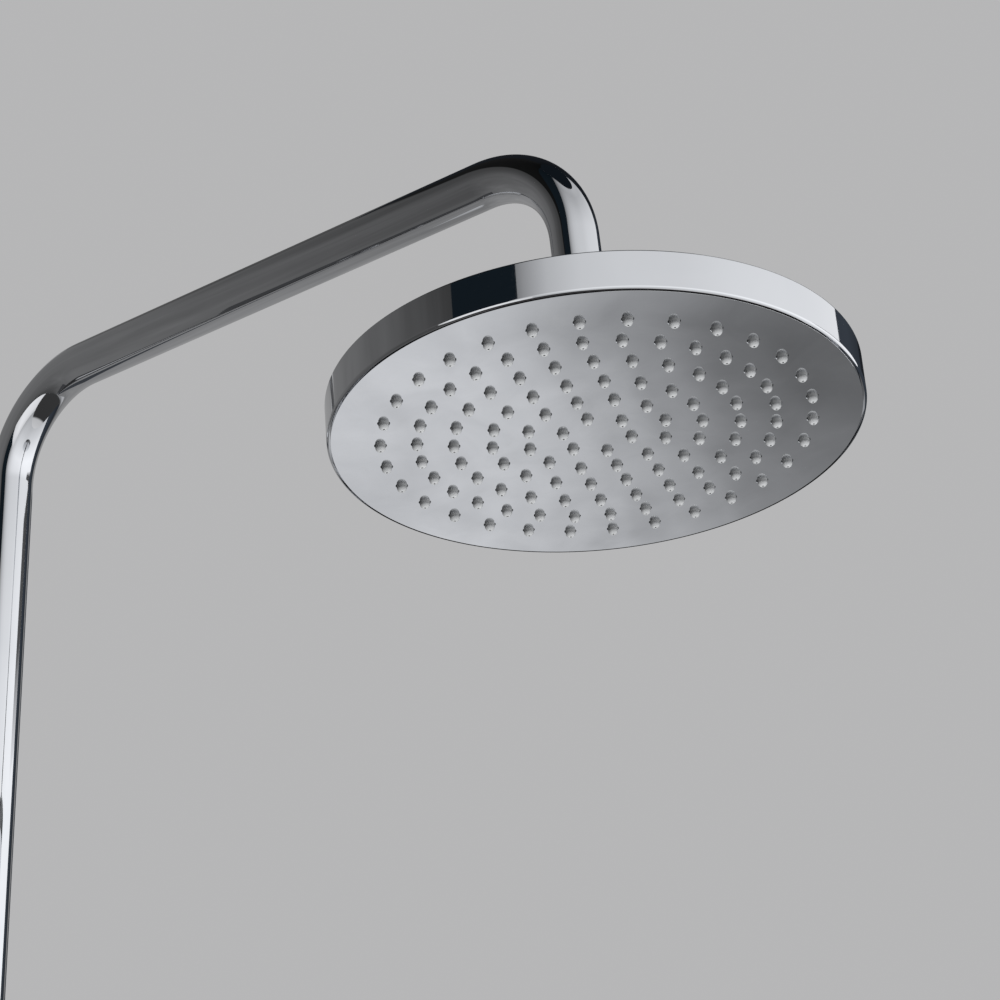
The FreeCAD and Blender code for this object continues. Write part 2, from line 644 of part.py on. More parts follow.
def ball_collar():
    """Chromed, fluted collar that screws onto the cup and holds the ball down."""
    round_z = NUT_TOP - NUT_ROUND
    body = lathe((NUT_IN, NUT_BOTTOM), (NUT_R, NUT_BOTTOM), (NUT_R, round_z),
                 arc_to(NUT_R - NUT_ROUND, round_z, NUT_ROUND, 0, 90), (NUT_MOUTH_R, NUT_TOP),
                 (sphere_r(CUP_SPHERE_R, NUT_SEAT_TOP), NUT_SEAT_TOP),
                 sphere_to(CUP_SPHERE_R, NUT_SEAT_TOP, CUP_TOP), (NUT_IN, CUP_TOP))
    flute = disc(NUT_FLUTE_R, NUT_BOTTOM - CUT, NUT_TOP + CUT)
    places = on_circle(NUT_R + NUT_FLUTE_R - NUT_FLUTE_DEPTH, NUT_FLUTES)
    return about_ball(body.cut(copies(flute, places)))


# ---------------------------------------------------------------- head
def face_height(radius):
    """Height of the convex nozzle face, zero at the outer nozzle ring."""
    return FACE_SPHERE_R - FACE_CROWN - sphere_r(FACE_SPHERE_R, radius)


def nozzle_points(height=0.0):
    """The place of every nozzle."""
    points = []
    for radius, count in NOZZLE_RINGS:
        points += [point + V(0, 0, height) for point in on_circle(radius, count, NOZZLE_PHASE)]
    return points


def neck_gasket():
    """Rubber ring between the cup's flange and the shell."""
    return in_head(tube(CUP_FLANGE_R - NECK_GASKET_MARGIN, CUP_TAIL_R + CUP_HOLE_GAP,
                        DOME_TOP, DOME_TOP + NECK_GASKET_T))


def back_nut():
    """Nut on the cup's tail, inside the shell."""
    high = DOME_TOP - DOME_WALL
    nut = turned_hexagon(BACK_NUT_FLATS, high - BACK_NUT_T, high)
    return in_head(nut.cut(disc(CUP_TAIL_R + BRAZE_GAP, high - BACK_NUT_T - CUT, high + CUT)))


def top_shell():
    """Chromed shell: the mirror rim and the low dome over the water chamber."""
    foot_r = HEAD_R - RIM_FOOT_ROUND
    foot_z = RIM_BOTTOM + RIM_FOOT_ROUND
    edge_r = HEAD_R - RIM_TOP_ROUND
    edge_z = RIM_TOP - RIM_TOP_ROUND
    middle_r = (edge_r + DOME_FLAT_R) / 2
    middle_z = (RIM_TOP + DOME_TOP) / 2 + DOME_BULGE
    hole_r = CUP_TAIL_R + CUP_HOLE_GAP
    inner_z = RIM_TOP - DOME_WALL
    body = lathe((FACE_R + LIP_GAP, RIM_BOTTOM), (foot_r, RIM_BOTTOM),
                 arc_to(foot_r, foot_z, RIM_FOOT_ROUND, -90, 0), (HEAD_R, edge_z),
                 arc_to(edge_r, edge_z, RIM_TOP_ROUND, 0, 90), (DOME_FLAT_R, DOME_TOP, middle_r, middle_z),
                 (hole_r, DOME_TOP), (hole_r, DOME_TOP - DOME_WALL), (DOME_FLAT_R, DOME_TOP - DOME_WALL),
                 (CHAMBER_R, inner_z, middle_r, middle_z - DOME_WALL), (CHAMBER_R, SHELL_SHOULDER),
                 (RIM_IN, SHELL_SHOULDER), (RIM_IN, RIM_BOTTOM + LIP_DEPTH),
                 (FACE_R + LIP_GAP, RIM_BOTTOM + LIP_DEPTH))
    groove = tube(SNAP_R + SNAP_GAP, RIM_IN - CUT, SNAP_BOTTOM - SNAP_GAP, SNAP_BOTTOM + SNAP_T + SNAP_GAP)
    return in_head(body.cut(groove))


def shell_seal():
    """Rubber ring between the face plate's skirt and the shell's shoulder."""
    centre_r = (SKIRT_R + SKIRT_IN) / 2
    return in_head(Part.makeTorus(centre_r, SHELL_SEAL_R, V(0, 0, SKIRT_TOP + SHELL_SEAL_GAP + SHELL_SEAL_R)))


def face_plate():
    """Satin face: gently convex below, flat behind, with a skirt that snaps into the shell."""
    edge_z = face_height(FACE_R - FACE_EDGE)
    step_z = RIM_BOTTOM + LIP_DEPTH - LIP_GAP
    body = lathe((0, FACE_BACK), (0, -FACE_CROWN),
                 (FACE_R - FACE_EDGE, edge_z, FACE_R / 2, face_height(FACE_R / 2)),
                 (FACE_R, edge_z + FACE_EDGE), (FACE_R, step_z), (SKIRT_R, step_z), (SKIRT_R, SKIRT_TOP),
                 (SKIRT_IN, SKIRT_TOP), (SKIRT_IN, FACE_BACK))
    groove = tube(SKIRT_R + CUT, SNAP_R - SNAP_WIDTH - SNAP_GAP,
                  SNAP_BOTTOM - SNAP_GAP, SNAP_BOTTOM + SNAP_T + SNAP_GAP)
    nozzles = copies(disc(NOZZLE_R + NOZZLE_GAP, -FACE_CROWN - CUT, FACE_BACK + CUT), nozzle_points())
    screws = copies(disc(SCREW_R + BRAZE_GAP, FACE_BACK - SCREW_DEPTH - BRAZE_GAP, FACE_BACK + CUT),
                    on_circle(SCREW_PCR, SCREW_COUNT))
    return in_head(body.cut(groove).cut(nozzles).cut(screws))


def nozzle(face_z):
    """One soft nozzle about Z: a straight root, then a dome down to a small flat tip."""
    side_z = face_z - NOZZLE_SIDE
    tip_z = face_z - NOZZLE_LENGTH
    inset = NOZZLE_R - NOZZLE_TIP_R
    fall = side_z - tip_z
    dome_r = (inset ** 2 + fall ** 2) / (2 * inset)
    sweep = degrees(atan2(fall, dome_r - inset))
    return lathe((0, WATER_BOTTOM), (0, tip_z), (NOZZLE_TIP_R, tip_z),
                 arc_to(NOZZLE_R - dome_r, side_z, dome_r, -sweep, 0), (NOZZLE_R, WATER_BOTTOM))


def nozzle_bore(face_z):
    """The waterway of one nozzle, wide behind and narrow at the tip."""
    neck_z = face_z - NOZZLE_SIDE
    return lathe((0, WATER_BOTTOM + CUT), (0, face_z - NOZZLE_LENGTH - CUT),
                 (NOZZLE_BORE_R, face_z - NOZZLE_LENGTH - CUT), (NOZZLE_BORE_R, neck_z),
                 (NOZZLE_INLET_R, FACE_BACK), (NOZZLE_INLET_R, WATER_BOTTOM + CUT))


def nozzle_mat():
    """Silicone sheet behind the face with all its nozzles, one piece."""
    body = disc(MAT_R, FACE_BACK, WATER_BOTTOM)
    body = body.cut(copies(disc(SCREW_R + NOZZLE_GAP, FACE_BACK - CUT, WATER_BOTTOM + CUT),
                           on_circle(SCREW_PCR, SCREW_COUNT)))
    solids = []
    bores = []
    for radius, count in NOZZLE_RINGS:
        places = on_circle(radius, count, NOZZLE_PHASE)
        solids += [moved(nozzle(face_height(radius)), place) for place in places]
        bores += [moved(nozzle_bore(face_height(radius)), place) for place in places]
    return in_head(body.multiFuse(solids).cut(Part.makeCompound(bores)))


def water_plate():
    """Plastic plate that clamps the mat to the face and feeds every nozzle."""
    flange_top = WATER_FLANGE_BOTTOM + WATER_FLANGE_T
    body = lathe((0, WATER_BOTTOM), (WATER_EDGE_R, WATER_BOTTOM), (WATER_EDGE_R, WATER_FLANGE_BOTTOM),
                 (WATER_FLANGE_R, WATER_FLANGE_BOTTOM), (WATER_FLANGE_R, flange_top),
                 (MAT_R, flange_top), (MAT_R, WATER_TOP), (0, WATER_TOP))
    feeds = copies(disc(WATER_PLATE_HOLE_R, WATER_BOTTOM - CUT, WATER_TOP + CUT), nozzle_points())
    screws = copies(disc(SCREW_R + NOZZLE_GAP, WATER_BOTTOM - CUT, WATER_TOP + CUT),
                    on_circle(SCREW_PCR, SCREW_COUNT))
    return in_head(body.cut(feeds).cut(screws))


def perimeter_seal():
    """Rubber ring round the water plate."""
    centre_r = (WATER_EDGE_R + SKIRT_IN) / 2
    centre_z = FACE_BACK + PERIMETER_SEAL_GAP / 2 + PERIMETER_SEAL_R
    return in_head(Part.makeTorus(centre_r, PERIMETER_SEAL_R, V(0, 0, centre_z)))


def plate_screws():
    """Screws through water plate and mat into the back of the face."""
    body = disc(SCREW_R, FACE_BACK - SCREW_DEPTH, WATER_TOP)
    body = body.fuse(disc(SCREW_HEAD_R, WATER_TOP, WATER_TOP + SCREW_HEAD_T))
    slot = Part.makeBox(2 * SCREW_HEAD_R + CUT, SCREW_SLOT, SCREW_HEAD_T,
                        V(-SCREW_HEAD_R - CUT / 2, -SCREW_SLOT / 2, WATER_TOP + SCREW_HEAD_T / 2))
    return in_head(copies(body.cut(slot), on_circle(SCREW_PCR, SCREW_COUNT)))


def snap_ring():
    """Open spring ring, half in the shell and half in the skirt of the face."""
    body = tube(SNAP_R, SNAP_R - SNAP_WIDTH, SNAP_BOTTOM, SNAP_BOTTOM + SNAP_T)
    half = 2 * HEAD_R * tan(radians(SNAP_MOUTH / 2))
    corners = [V(0, 0, SNAP_BOTTOM - CUT), V(2 * HEAD_R, -half, SNAP_BOTTOM - CUT),
               V(2 * HEAD_R, half, SNAP_BOTTOM - CUT), V(0, 0, SNAP_BOTTOM - CUT)]
    mouth = Part.Face(Part.makePolygon(corners)).extrude(V(0, 0, SNAP_T + 2 * CUT))
    return in_head(body.cut(mouth))


# ---------------------------------------------------------------- nodes
NODES = [
    # fixed to the wall
    riser_tube, swivel_socket, swivel_collar, slip_rings, foot_spigot, union_washer,
    wall_plate, cover_cap, bracket_post, clamp_ring, clamp_bush, set_screws,
    # loose on the foot
    union_nut,
    # swings with the arm
    gooseneck_tube, swivel_spigot, spigot_rings, outlet_nipple,
    ball_nut, flow_regulator, filter_washer, filter_screen,
    # inside the ball joint
    ball_liner, ball_seal,
    # tilts with the head
    swivel_cup, ball_collar, neck_gasket, back_nut, top_shell, shell_seal, face_plate,
    nozzle_mat, water_plate, perimeter_seal, plate_screws, snap_ring,
]

os.makedirs("parts", exist_ok=True)
for node in NODES:
    node().exportStep("parts/" + node.__name__ + ".step")
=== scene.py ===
"""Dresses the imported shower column: smooth chromed pieces, their finishes, a studio and the camera.

Each piece is drawn in millimetres in a frame of its own, such as the riser's axis or the ball's centre.
It becomes metres in the model's frame when it is settled in its place.
"""

import json
import logging
from collections.abc import Iterator
from contextlib import contextmanager
from dataclasses import dataclass, field
from enum import Enum, IntEnum
from math import atan2, cos, degrees, hypot, radians, sin, sqrt, tan, tau

import bpy
from bpy.types import Material, Node, NodeSocket, NodeTree, Object
from mathutils import Matrix, Vector


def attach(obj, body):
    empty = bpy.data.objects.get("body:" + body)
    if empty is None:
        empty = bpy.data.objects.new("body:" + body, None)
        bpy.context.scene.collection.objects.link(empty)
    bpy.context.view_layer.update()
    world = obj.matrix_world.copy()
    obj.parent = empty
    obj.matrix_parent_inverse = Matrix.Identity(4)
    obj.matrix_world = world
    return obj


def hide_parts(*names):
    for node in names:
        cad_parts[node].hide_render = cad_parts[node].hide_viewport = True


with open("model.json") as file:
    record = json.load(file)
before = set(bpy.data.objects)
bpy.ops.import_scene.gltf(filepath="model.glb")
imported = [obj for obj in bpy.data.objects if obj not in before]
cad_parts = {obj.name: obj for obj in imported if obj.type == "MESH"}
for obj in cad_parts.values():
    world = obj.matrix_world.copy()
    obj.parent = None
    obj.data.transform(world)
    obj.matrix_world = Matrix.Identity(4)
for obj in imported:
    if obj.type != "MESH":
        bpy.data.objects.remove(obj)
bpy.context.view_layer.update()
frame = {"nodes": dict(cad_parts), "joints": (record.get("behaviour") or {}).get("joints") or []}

LOG = logging.getLogger("shower_column")
MM = 0.001
OVER = 1.0                  # how far a cutter runs past what it cuts, in millimetres
MERGE = 0.0015 * MM         # points closer than this are one point
SMOOTH = radians(34)        # edges sharper than this stay sharp
CORNER_FALL = radians(30)   # slope of a hexagon's turned-down corners
GROOVE = (0.42, 0.58, 0.96)     # a thread's groove: start and end of its floor, end of its flank, in pitches
Point = tuple[float, float]
Point3 = tuple[float, float, float]
Colour = tuple[float, float, float]
Stops = tuple[tuple[float, float], ...]     # where, and how much there


# ---------------------------------------------------------------- frames of the sub-assemblies
UP = Vector((0, 0, 1))


def hinge(name: str) -> tuple[Vector, Vector]:
    """Place in metres and axis of a packed joint at rest."""
    joint = next(one for one in frame["joints"] if one["name"] == name)
    return Vector(joint["pos_m"]), Vector(joint["axis"])


@dataclass(frozen=True)
class Layout:
    """The frames that the sub-assemblies are drawn in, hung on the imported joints."""
    drop_lean: float = 6.0      # degrees between the drop and upright
    ball_height: float = 42.0   # of the ball's centre over the outer nozzle ring

    def offset(self) -> float:
        """The riser's distance from the wall in millimetres."""
        return hinge("arm_swivel")[0].x / MM

    def ball(self) -> Vector:
        """The ball's centre in metres."""
        return hinge("head_spin")[0]

    def riser(self) -> Matrix:
        """Frame on the riser's axis."""
        return Matrix.Translation((self.offset() * MM, 0, 0))

    def wall(self) -> Matrix:
        """Frame whose Z runs out of the wall."""
        return Matrix.Rotation(radians(90), 4, "Y")

    def drop(self) -> Matrix:
        """Frame at the ball's centre along the drop."""
        return Matrix.Translation(self.ball()) @ Matrix.Rotation(radians(-self.drop_lean), 4, "Y")

    def joint(self) -> Matrix:
        """Frame at the ball's centre along the head's axis."""
        place, axis = hinge("head_spin")
        return Matrix.Translation(place) @ UP.rotation_difference(axis).to_matrix().to_4x4()

    def head(self) -> Matrix:
        """Frame on the head's axis with zero at the outer nozzle ring."""
        return self.joint() @ Matrix.Translation((0, 0, -self.ball_height * MM))


LAYOUT = Layout()


# ---------------------------------------------------------------- outlines
def arc(centre: Point, radius: float, start: float, end: float, steps: int = 8) -> list[Point]:
    """Points along an arc.

    Args:
        centre: Radius and height of its centre.
        radius: Its radius.
        start: First angle in degrees, from outward towards up.
        end: Last angle in degrees.
        steps: Number of chords.

    Returns:
        The points, both ends among them.
    """
    angles = [radians(start + (end - start) * k / steps) for k in range(steps + 1)]
    return [(centre[0] + radius * cos(a), centre[1] + radius * sin(a)) for a in angles]


def stair(start: Point, *ends: float) -> list[Point]:
    """Corners of a path whose runs are level and upright by turns. A run of no length adds no corner.

    Args:
        start: Where it starts.
        ends: The radius that the first run goes to, the height that the second goes to, and so on.

    Returns:
        The corners, the start among them.
    """
    points = [start]
    for k, end in enumerate(ends):
        radius, height = points[-1]
        corner = (radius, end) if k % 2 else (end, height)
        if corner != points[-1]:
            points.append(corner)
    return points


def sphere_r(radius: float, height: float) -> float:
    """Radius of a sphere's section at a height from its centre."""
    return sqrt(radius ** 2 - height ** 2)


def sphere_zone(radius: float, start: float, end: float, steps: int = 12) -> list[Point]:
    """Points along a sphere about the origin, from one height to another.

    Args:
        radius: The sphere's radius.
        start: First height.
        end: Last height.
        steps: Number of chords.

    Returns:
        The points, both ends among them.
    """
    low = degrees(atan2(start, sphere_r(radius, start)))
    high = degrees(atan2(end, sphere_r(radius, end)))
    return arc((0, 0), radius, low, high, steps)


def bow(start: Point, end: Point, bulge: float, steps: int = 24) -> list[Point]:
    """Points along a shallow arc between two points.

    Args:
        start: First point.
        end: Last point.
        bulge: Height of the arc over the middle of its chord, upwards.
        steps: Number of chords.

    Returns:
        The points, both ends among them.
    """
    middle = ((start[0] + end[0]) / 2, (start[1] + end[1]) / 2 + bulge)
    (ax, ay), (bx, by), (cx, cy) = start, middle, end
    twice = 2 * (ax * (by - cy) + bx * (cy - ay) + cx * (ay - by))
    sums = [x * x + y * y for x, y in (start, middle, end)]
    centre = ((sums[0] * (by - cy) + sums[1] * (cy - ay) + sums[2] * (ay - by)) / twice,
              (sums[0] * (cx - bx) + sums[1] * (ax - cx) + sums[2] * (bx - ax)) / twice)
    first = degrees(atan2(ay - centre[1], ax - centre[0]))
    last = degrees(atan2(cy - centre[1], cx - centre[0]))
    return arc(centre, hypot(ax - centre[0], ay - centre[1]), first, last, steps)


def thread(radius: float, depth: float, low: float, high: float, count: int) -> list[Point]:
    """Zigzag of an inside thread, as rings, from bottom to top.

    Args:
        radius: Radius of its crests.
        depth: Depth of its grooves.
        low: Height of the first crest.
        high: Height of the last crest.
        count: Number of grooves.

    Returns:
        The points from the first crest to the last.
    """
    pitch = (high - low) / count
    points = [(radius, low)]
    for k in range(count):
        start, end, flank, crest = (low + (k + share) * pitch for share in (*GROOVE, 1))
        points += [(radius + depth, start), (radius + depth, end), (radius, flank), (radius, crest)]
    return points


def on_circle(radius: float, count: int, phase: float = 0.0) -> list[Vector]:
    """Places of a circular pattern about Z, in millimetres."""
    angles = [radians(phase + 360.0 * k / count) for k in range(count)]
    return [Vector((radius * cos(a), radius * sin(a), 0)) for a in angles]


# ---------------------------------------------------------------- modelling by hand
class Facets(IntEnum):
    """Facets round a turned piece, by its kind."""
    HEAD = 256
    FLUTED = 144
    WIDE = 128
    PLAIN = 96
    BORE = 64
    SMALL = 48
    PIN = 32
    TINY = 16
    WATERWAY = 8


class Edge(Enum):
    """Width of the rounds that break a piece's sharp edges, in millimetres."""
    NONE = 0.0
    THIN = 0.12
    FINE = 0.15
    PLAIN = 0.2
    BOLD = 0.25


class Along(Enum):
    """Which way a cutter runs: the axis and the degrees that turn it there from Z."""
    X = ("Y", 90)
    MINUS_Y = ("X", 90)


class Cut(Enum):
    """What becomes of a piece where a second one meets it."""
    AWAY = "DIFFERENCE"
    COMMON = "INTERSECT"
    WELD = "UNION"


def pick(*pieces: Object) -> None:
    """Select these pieces alone.

    Args:
        pieces: The pieces. The first becomes the active one.
    """
    bpy.ops.object.select_all(action="DESELECT")
    for piece in pieces:
        piece.select_set(True)
    bpy.context.view_layer.objects.active = pieces[0] if pieces else None


@contextmanager
def editing(piece: Object) -> Iterator[None]:
    """Open a piece in edit mode with all of it selected, and close it again.

    Args:
        piece: The piece.

    Returns:
        The context in which it is open.
    """
    pick(piece)
    bpy.ops.object.mode_set(mode="EDIT")
    bpy.ops.mesh.select_mode(type="VERT")
    bpy.ops.mesh.select_all(action="SELECT")
    yield
    bpy.ops.object.mode_set(mode="OBJECT")


def named(name: str) -> Object:
    """Name the primitive that was just added.

    Args:
        name: Its name.

    Returns:
        The primitive.
    """
    piece = bpy.context.object
    piece.name = name
    piece.data.name = name
    return piece


def apply_transform() -> None:
    """Write the selected pieces' places into their meshes."""
    bpy.ops.object.transform_apply(location=True, rotation=True, scale=True)


def mend() -> None:
    """Merge doubled points of the open mesh and turn its faces outward."""
    bpy.ops.mesh.select_all(action="SELECT")
    bpy.ops.mesh.remove_doubles(threshold=MERGE)
    bpy.ops.mesh.normals_make_consistent(inside=False)


def turned(name: str, outline: list[Point], steps: int = Facets.PLAIN) -> Object:
    """Draw an outline point by point and spin it about Z.

    Args:
        name: The piece's name.
        outline: Radius and height of each corner, in order round a closed section. One that starts and ends
            on the axis is left open there.
        steps: Facets round the axis.

    Returns:
        The piece, closed and facing outward.
    """
    pick()
    bpy.ops.mesh.primitive_plane_add(size=MM)
    piece = named(name)
    corners = [Vector((r, 0, z)) * MM for r, z in outline]
    if outline[0][0] or outline[-1][0]:
        corners.append(corners[0])
    with editing(piece):
        bpy.ops.mesh.merge(type="CENTER")
        bpy.ops.transform.translate(value=corners[0])
        for before, after in zip(corners, corners[1:]):
            bpy.ops.mesh.extrude_region_move(TRANSFORM_OT_translate={"value": after - before})
        bpy.ops.mesh.select_all(action="SELECT")
        bpy.ops.mesh.spin(steps=steps, angle=tau, center=(0, 0, 0), axis=(0, 0, 1))
        mend()
    return piece


def ring(name: str, inner: float, outer: float, low: float, high: float, steps: int = Facets.PLAIN) -> Object:
    """Spin a rectangle about Z: a ring, or a rod where the inner radius is zero."""
    return turned(name, stair((inner, low), outer, high, inner), steps)


def hexagon(name: str, flats: float, low: float, high: float) -> Object:
    """A hexagonal bar about Z with its corners turned down at both ends.

    Args:
        name: The piece's name.
        flats: Width across the flats.
        low: Height of its lower end.
        high: Height of its upper end.

    Returns:
        The bar.
    """
    corner = flats / sqrt(3)
    pick()
    bpy.ops.mesh.primitive_cylinder_add(vertices=6, radius=corner * MM, depth=(high - low) * MM,
                                        location=(0, 0, (low + high) / 2 * MM), rotation=(0, 0, radians(30)))
    piece = named(name)
    apply_transform()
    over = corner + OVER
    lift = (over - flats / 2) * tan(CORNER_FALL)
    envelope = turned("envelope", [(0, low), (flats / 2, low), (over, low + lift), (over, high - lift),
                                   (flats / 2, high), (0, high)])
    combine(piece, envelope, Cut.COMMON)
    return piece


def pin(radius: float, length: float, start: Vector, along: Along) -> Object:
    """A round cutter across the axis.

    Args:
        radius: Its radius.
        length: Its length.
        start: Where it starts, in millimetres.
        along: The direction it runs in.

    Returns:
        The cutter.
    """
    cutter = ring("pin", 0, radius, 0, length, Facets.PIN)
    axis, turn = along.value
    cutter.matrix_world = Matrix.Translation(start * MM) @ Matrix.Rotation(radians(turn), 4, axis)
    pick(cutter)
    apply_transform()
    return cutter


def combine(piece: Object, tool: Object, how: Cut) -> None:
    """Cut or weld a piece with a second one, which is used up.

    Args:
        piece: The piece that stays.
        tool: The cutter or the part to weld on.
        how: Which of these it is.
    """
    pick(piece)
    boolean = piece.modifiers.new(how.name, "BOOLEAN")
    boolean.operation = how.value
    boolean.object = tool
    boolean.solver = "MANIFOLD"
    bpy.ops.object.modifier_apply(modifier=boolean.name)
    bpy.data.objects.remove(tool)
    if not piece.data.polygons:
        raise ValueError(f"{piece.name}: nothing is left after {how.name}")


def spread(piece: Object, places: list[Vector]) -> Object:
    """Copy a shape to every place and join the copies into it.

    Args:
        piece: The shape, modelled once about the origin. It is used up.
        places: Where the copies go, in millimetres.

    Returns:
        One object with a copy at every place.
    """
    copies = []
    for place in places:
        twin = piece.copy()
        twin.data = piece.data.copy()
        twin.matrix_world = Matrix.Translation(place * MM)
        bpy.context.scene.collection.objects.link(twin)
        copies.append(twin)
    bpy.data.objects.remove(piece)
    pick(*copies)
    apply_transform()
    bpy.ops.object.join()
    return copies[0]


def settle(piece: Object, place: Matrix, edge: Edge = Edge.NONE) -> Object:
    """Break a piece's sharp edges, put it in its place and shade it.

    Args:
        piece: The piece in its own frame.
        place: That frame in the model.
        edge: How wide its edges are rounded.

    Returns:
        The piece, with its object at the origin.
    """
    pick(piece)
    if edge is not Edge.NONE:
        bevel = piece.modifiers.new("edges", "BEVEL")
        bevel.width = edge.value * MM
        bevel.segments = 2
        bevel.limit_method = "ANGLE"
        bevel.angle_limit = SMOOTH
        bpy.ops.object.modifier_apply(modifier=bevel.name)
    piece.matrix_world = place
    apply_transform()
    bpy.ops.object.shade_smooth_by_angle(angle=SMOOTH)
    normals = piece.modifiers.new("normals", "WEIGHTED_NORMAL")
    normals.keep_sharp = True
    bpy.ops.object.modifier_apply(modifier=normals.name)
    return piece


# ---------------------------------------------------------------- shader nodes
class Graph:
    """A node tree with short ways to place and join nodes."""

    def __init__(self, tree: NodeTree) -> None:
        """Keep the tree, emptied."""
        self.tree = tree
        tree.nodes.clear()

    def add(self, kind: str, inputs: dict[str | int, object] | None = None, **settings: object) -> Node:
        """Place a node.

        Args:
            kind: Its Blender type, such as "ShaderNodeTexNoise".
            inputs: A number, colour or another node's output for each input, by its name or number.
            settings: The node's own properties.

        Returns:
            The node.
        """
        node = self.tree.nodes.new(kind)
        for key, value in settings.items():
            setattr(node, key, value)
        for key, value in (inputs or {}).items():
            socket = node.inputs[key]
            if isinstance(value, NodeSocket):
                self.tree.links.new(value, socket)
            else:
                socket.default_value = value
        return node

    def place(self, scale: Colour = (1, 1, 1), centre: Colour = (0, 0, 0)) -> NodeSocket:
        """Object coordinates about a centre, stretched per axis.

        Args:
            scale: Factor along each axis.
            centre: The pattern's centre in metres.

        Returns:
            The vector to give to a texture.
        """
        source = self.add("ShaderNodeTexCoord").outputs["Object"]
        shift = [-c * s for c, s in zip(centre, scale)]
        moved = self.add("ShaderNodeMapping", {"Vector": source, "Location": shift, "Scale": scale})
        return moved.outputs["Vector"]

    def sum(self, first: NodeSocket, second: NodeSocket | float, how: str) -> NodeSocket:
        """The outcome of a sum, such as MULTIPLY, with two numbers."""
        return self.add("ShaderNodeMath", {0: first, 1: second}, operation=how).outputs["Value"]

    def curve(self, value: NodeSocket, stops: Stops) -> NodeSocket:
        """A share that runs straight from stop to stop.

        Args:
            value: The number to follow.
            stops: Where on it, in rising order, and the share there.

        Returns:
            The share, as a grey.
        """
        low, high = stops[0][0], stops[-1][0]
        along = self.add("ShaderNodeMapRange", {"Value": value, "From Min": low, "From Max": high})
        ramp = self.add("ShaderNodeValToRGB", {"Fac": along.outputs["Result"]})
        elements = ramp.color_ramp.elements
        for place, _ in stops[1:-1]:
            elements.new((place - low) / (high - low))
        for element, (_, share) in zip(elements, stops):
            element.color = (share, share, share, 1)
        return ramp.outputs["Color"]

    def between(self, mask: NodeSocket, low: float, high: float) -> NodeSocket:
        """A mask from 0 to 1 spread between two numbers."""
        spread_out = self.add("ShaderNodeMapRange", {"Value": mask, "To Min": low, "To Max": high})
        return spread_out.outputs["Result"]

    def blend(self, mask: NodeSocket, first: Colour, second: Colour) -> NodeSocket:
        """A colour that goes from the first to the second with a mask."""
        ends = {6: (*first, 1), 7: (*second, 1)}
        return self.add("ShaderNodeMix", {"Factor": mask} | ends, data_type="RGBA").outputs[2]


MIDDLE = 0.5                # the grey that a mask swings about


class Effect(Enum):
    """The shared effects, each one shader node group."""
    # Smudges on chrome; on the satin face, strong clouds of tone that are partly a painted reflection of a
    # mottled wall; on the studio sheets, the mottled light itself
    SMUDGES_AND_REFLECTED_MOTTLE = "smudges"
    GRAIN = "grain"
    TOOL_MARKS = "tool marks"


NOISES = {      # detail, roughness and distortion of the effects that are made from noise
    Effect.SMUDGES_AND_REFLECTED_MOTTLE: (5.0, 0.52, 0.6),
    Effect.TOOL_MARKS: (3.0, 0.7, 0.0),
}


def effect(kind: Effect) -> NodeTree:
    """The node group of a shared effect, built the first time it is asked for.

    Args:
        kind: Which effect.

    Returns:
        A group that takes Vector, Scale and Contrast and puts out a mask from 0 to 1.
    """
    found = bpy.data.node_groups.get(kind.value)
    if found:
        return found
    tree = bpy.data.node_groups.new(kind.value, "ShaderNodeTree")
    graph = Graph(tree)
    for name, side, form in (("Vector", "INPUT", "Vector"), ("Scale", "INPUT", "Float"),
                             ("Contrast", "INPUT", "Float"), ("Mask", "OUTPUT", "Float")):
        tree.interface.new_socket(name, in_out=side, socket_type="NodeSocket" + form)
    given = graph.add("NodeGroupInput").outputs
    where = {"Vector": given["Vector"], "Scale": given["Scale"]}
    if kind in NOISES:
        detail, roughness, distortion = NOISES[kind]
        raw = graph.add("ShaderNodeTexNoise", where | {"Detail": detail, "Roughness": roughness,
                                                       "Distortion": distortion}).outputs["Fac"]
    else:
        raw = graph.add("ShaderNodeTexVoronoi", where, feature="SMOOTH_F1").outputs["Distance"]
    centred = graph.sum(raw, MIDDLE, "SUBTRACT")
    stretched = graph.add("ShaderNodeMath", {0: centred, 1: given["Contrast"], 2: MIDDLE},
                          operation="MULTIPLY_ADD", use_clamp=True)
    graph.add("NodeGroupOutput", {"Mask": stretched.outputs[0]})
    return tree


def masked(graph: Graph, kind: Effect, vector: NodeSocket, scale: float, contrast: float) -> NodeSocket:
    """Place a shared effect in a material.

    Args:
        graph: The material's nodes.
        kind: Which effect.
        vector: Where it is read.
        scale: Its scale, in turns per metre.
        contrast: How hard it swings between 0 and 1.

    Returns:
        Its mask.
    """
    group = graph.add("ShaderNodeGroup", {"Vector": vector, "Scale": scale, "Contrast": contrast},
                      node_tree=effect(kind))
    return group.outputs["Mask"]


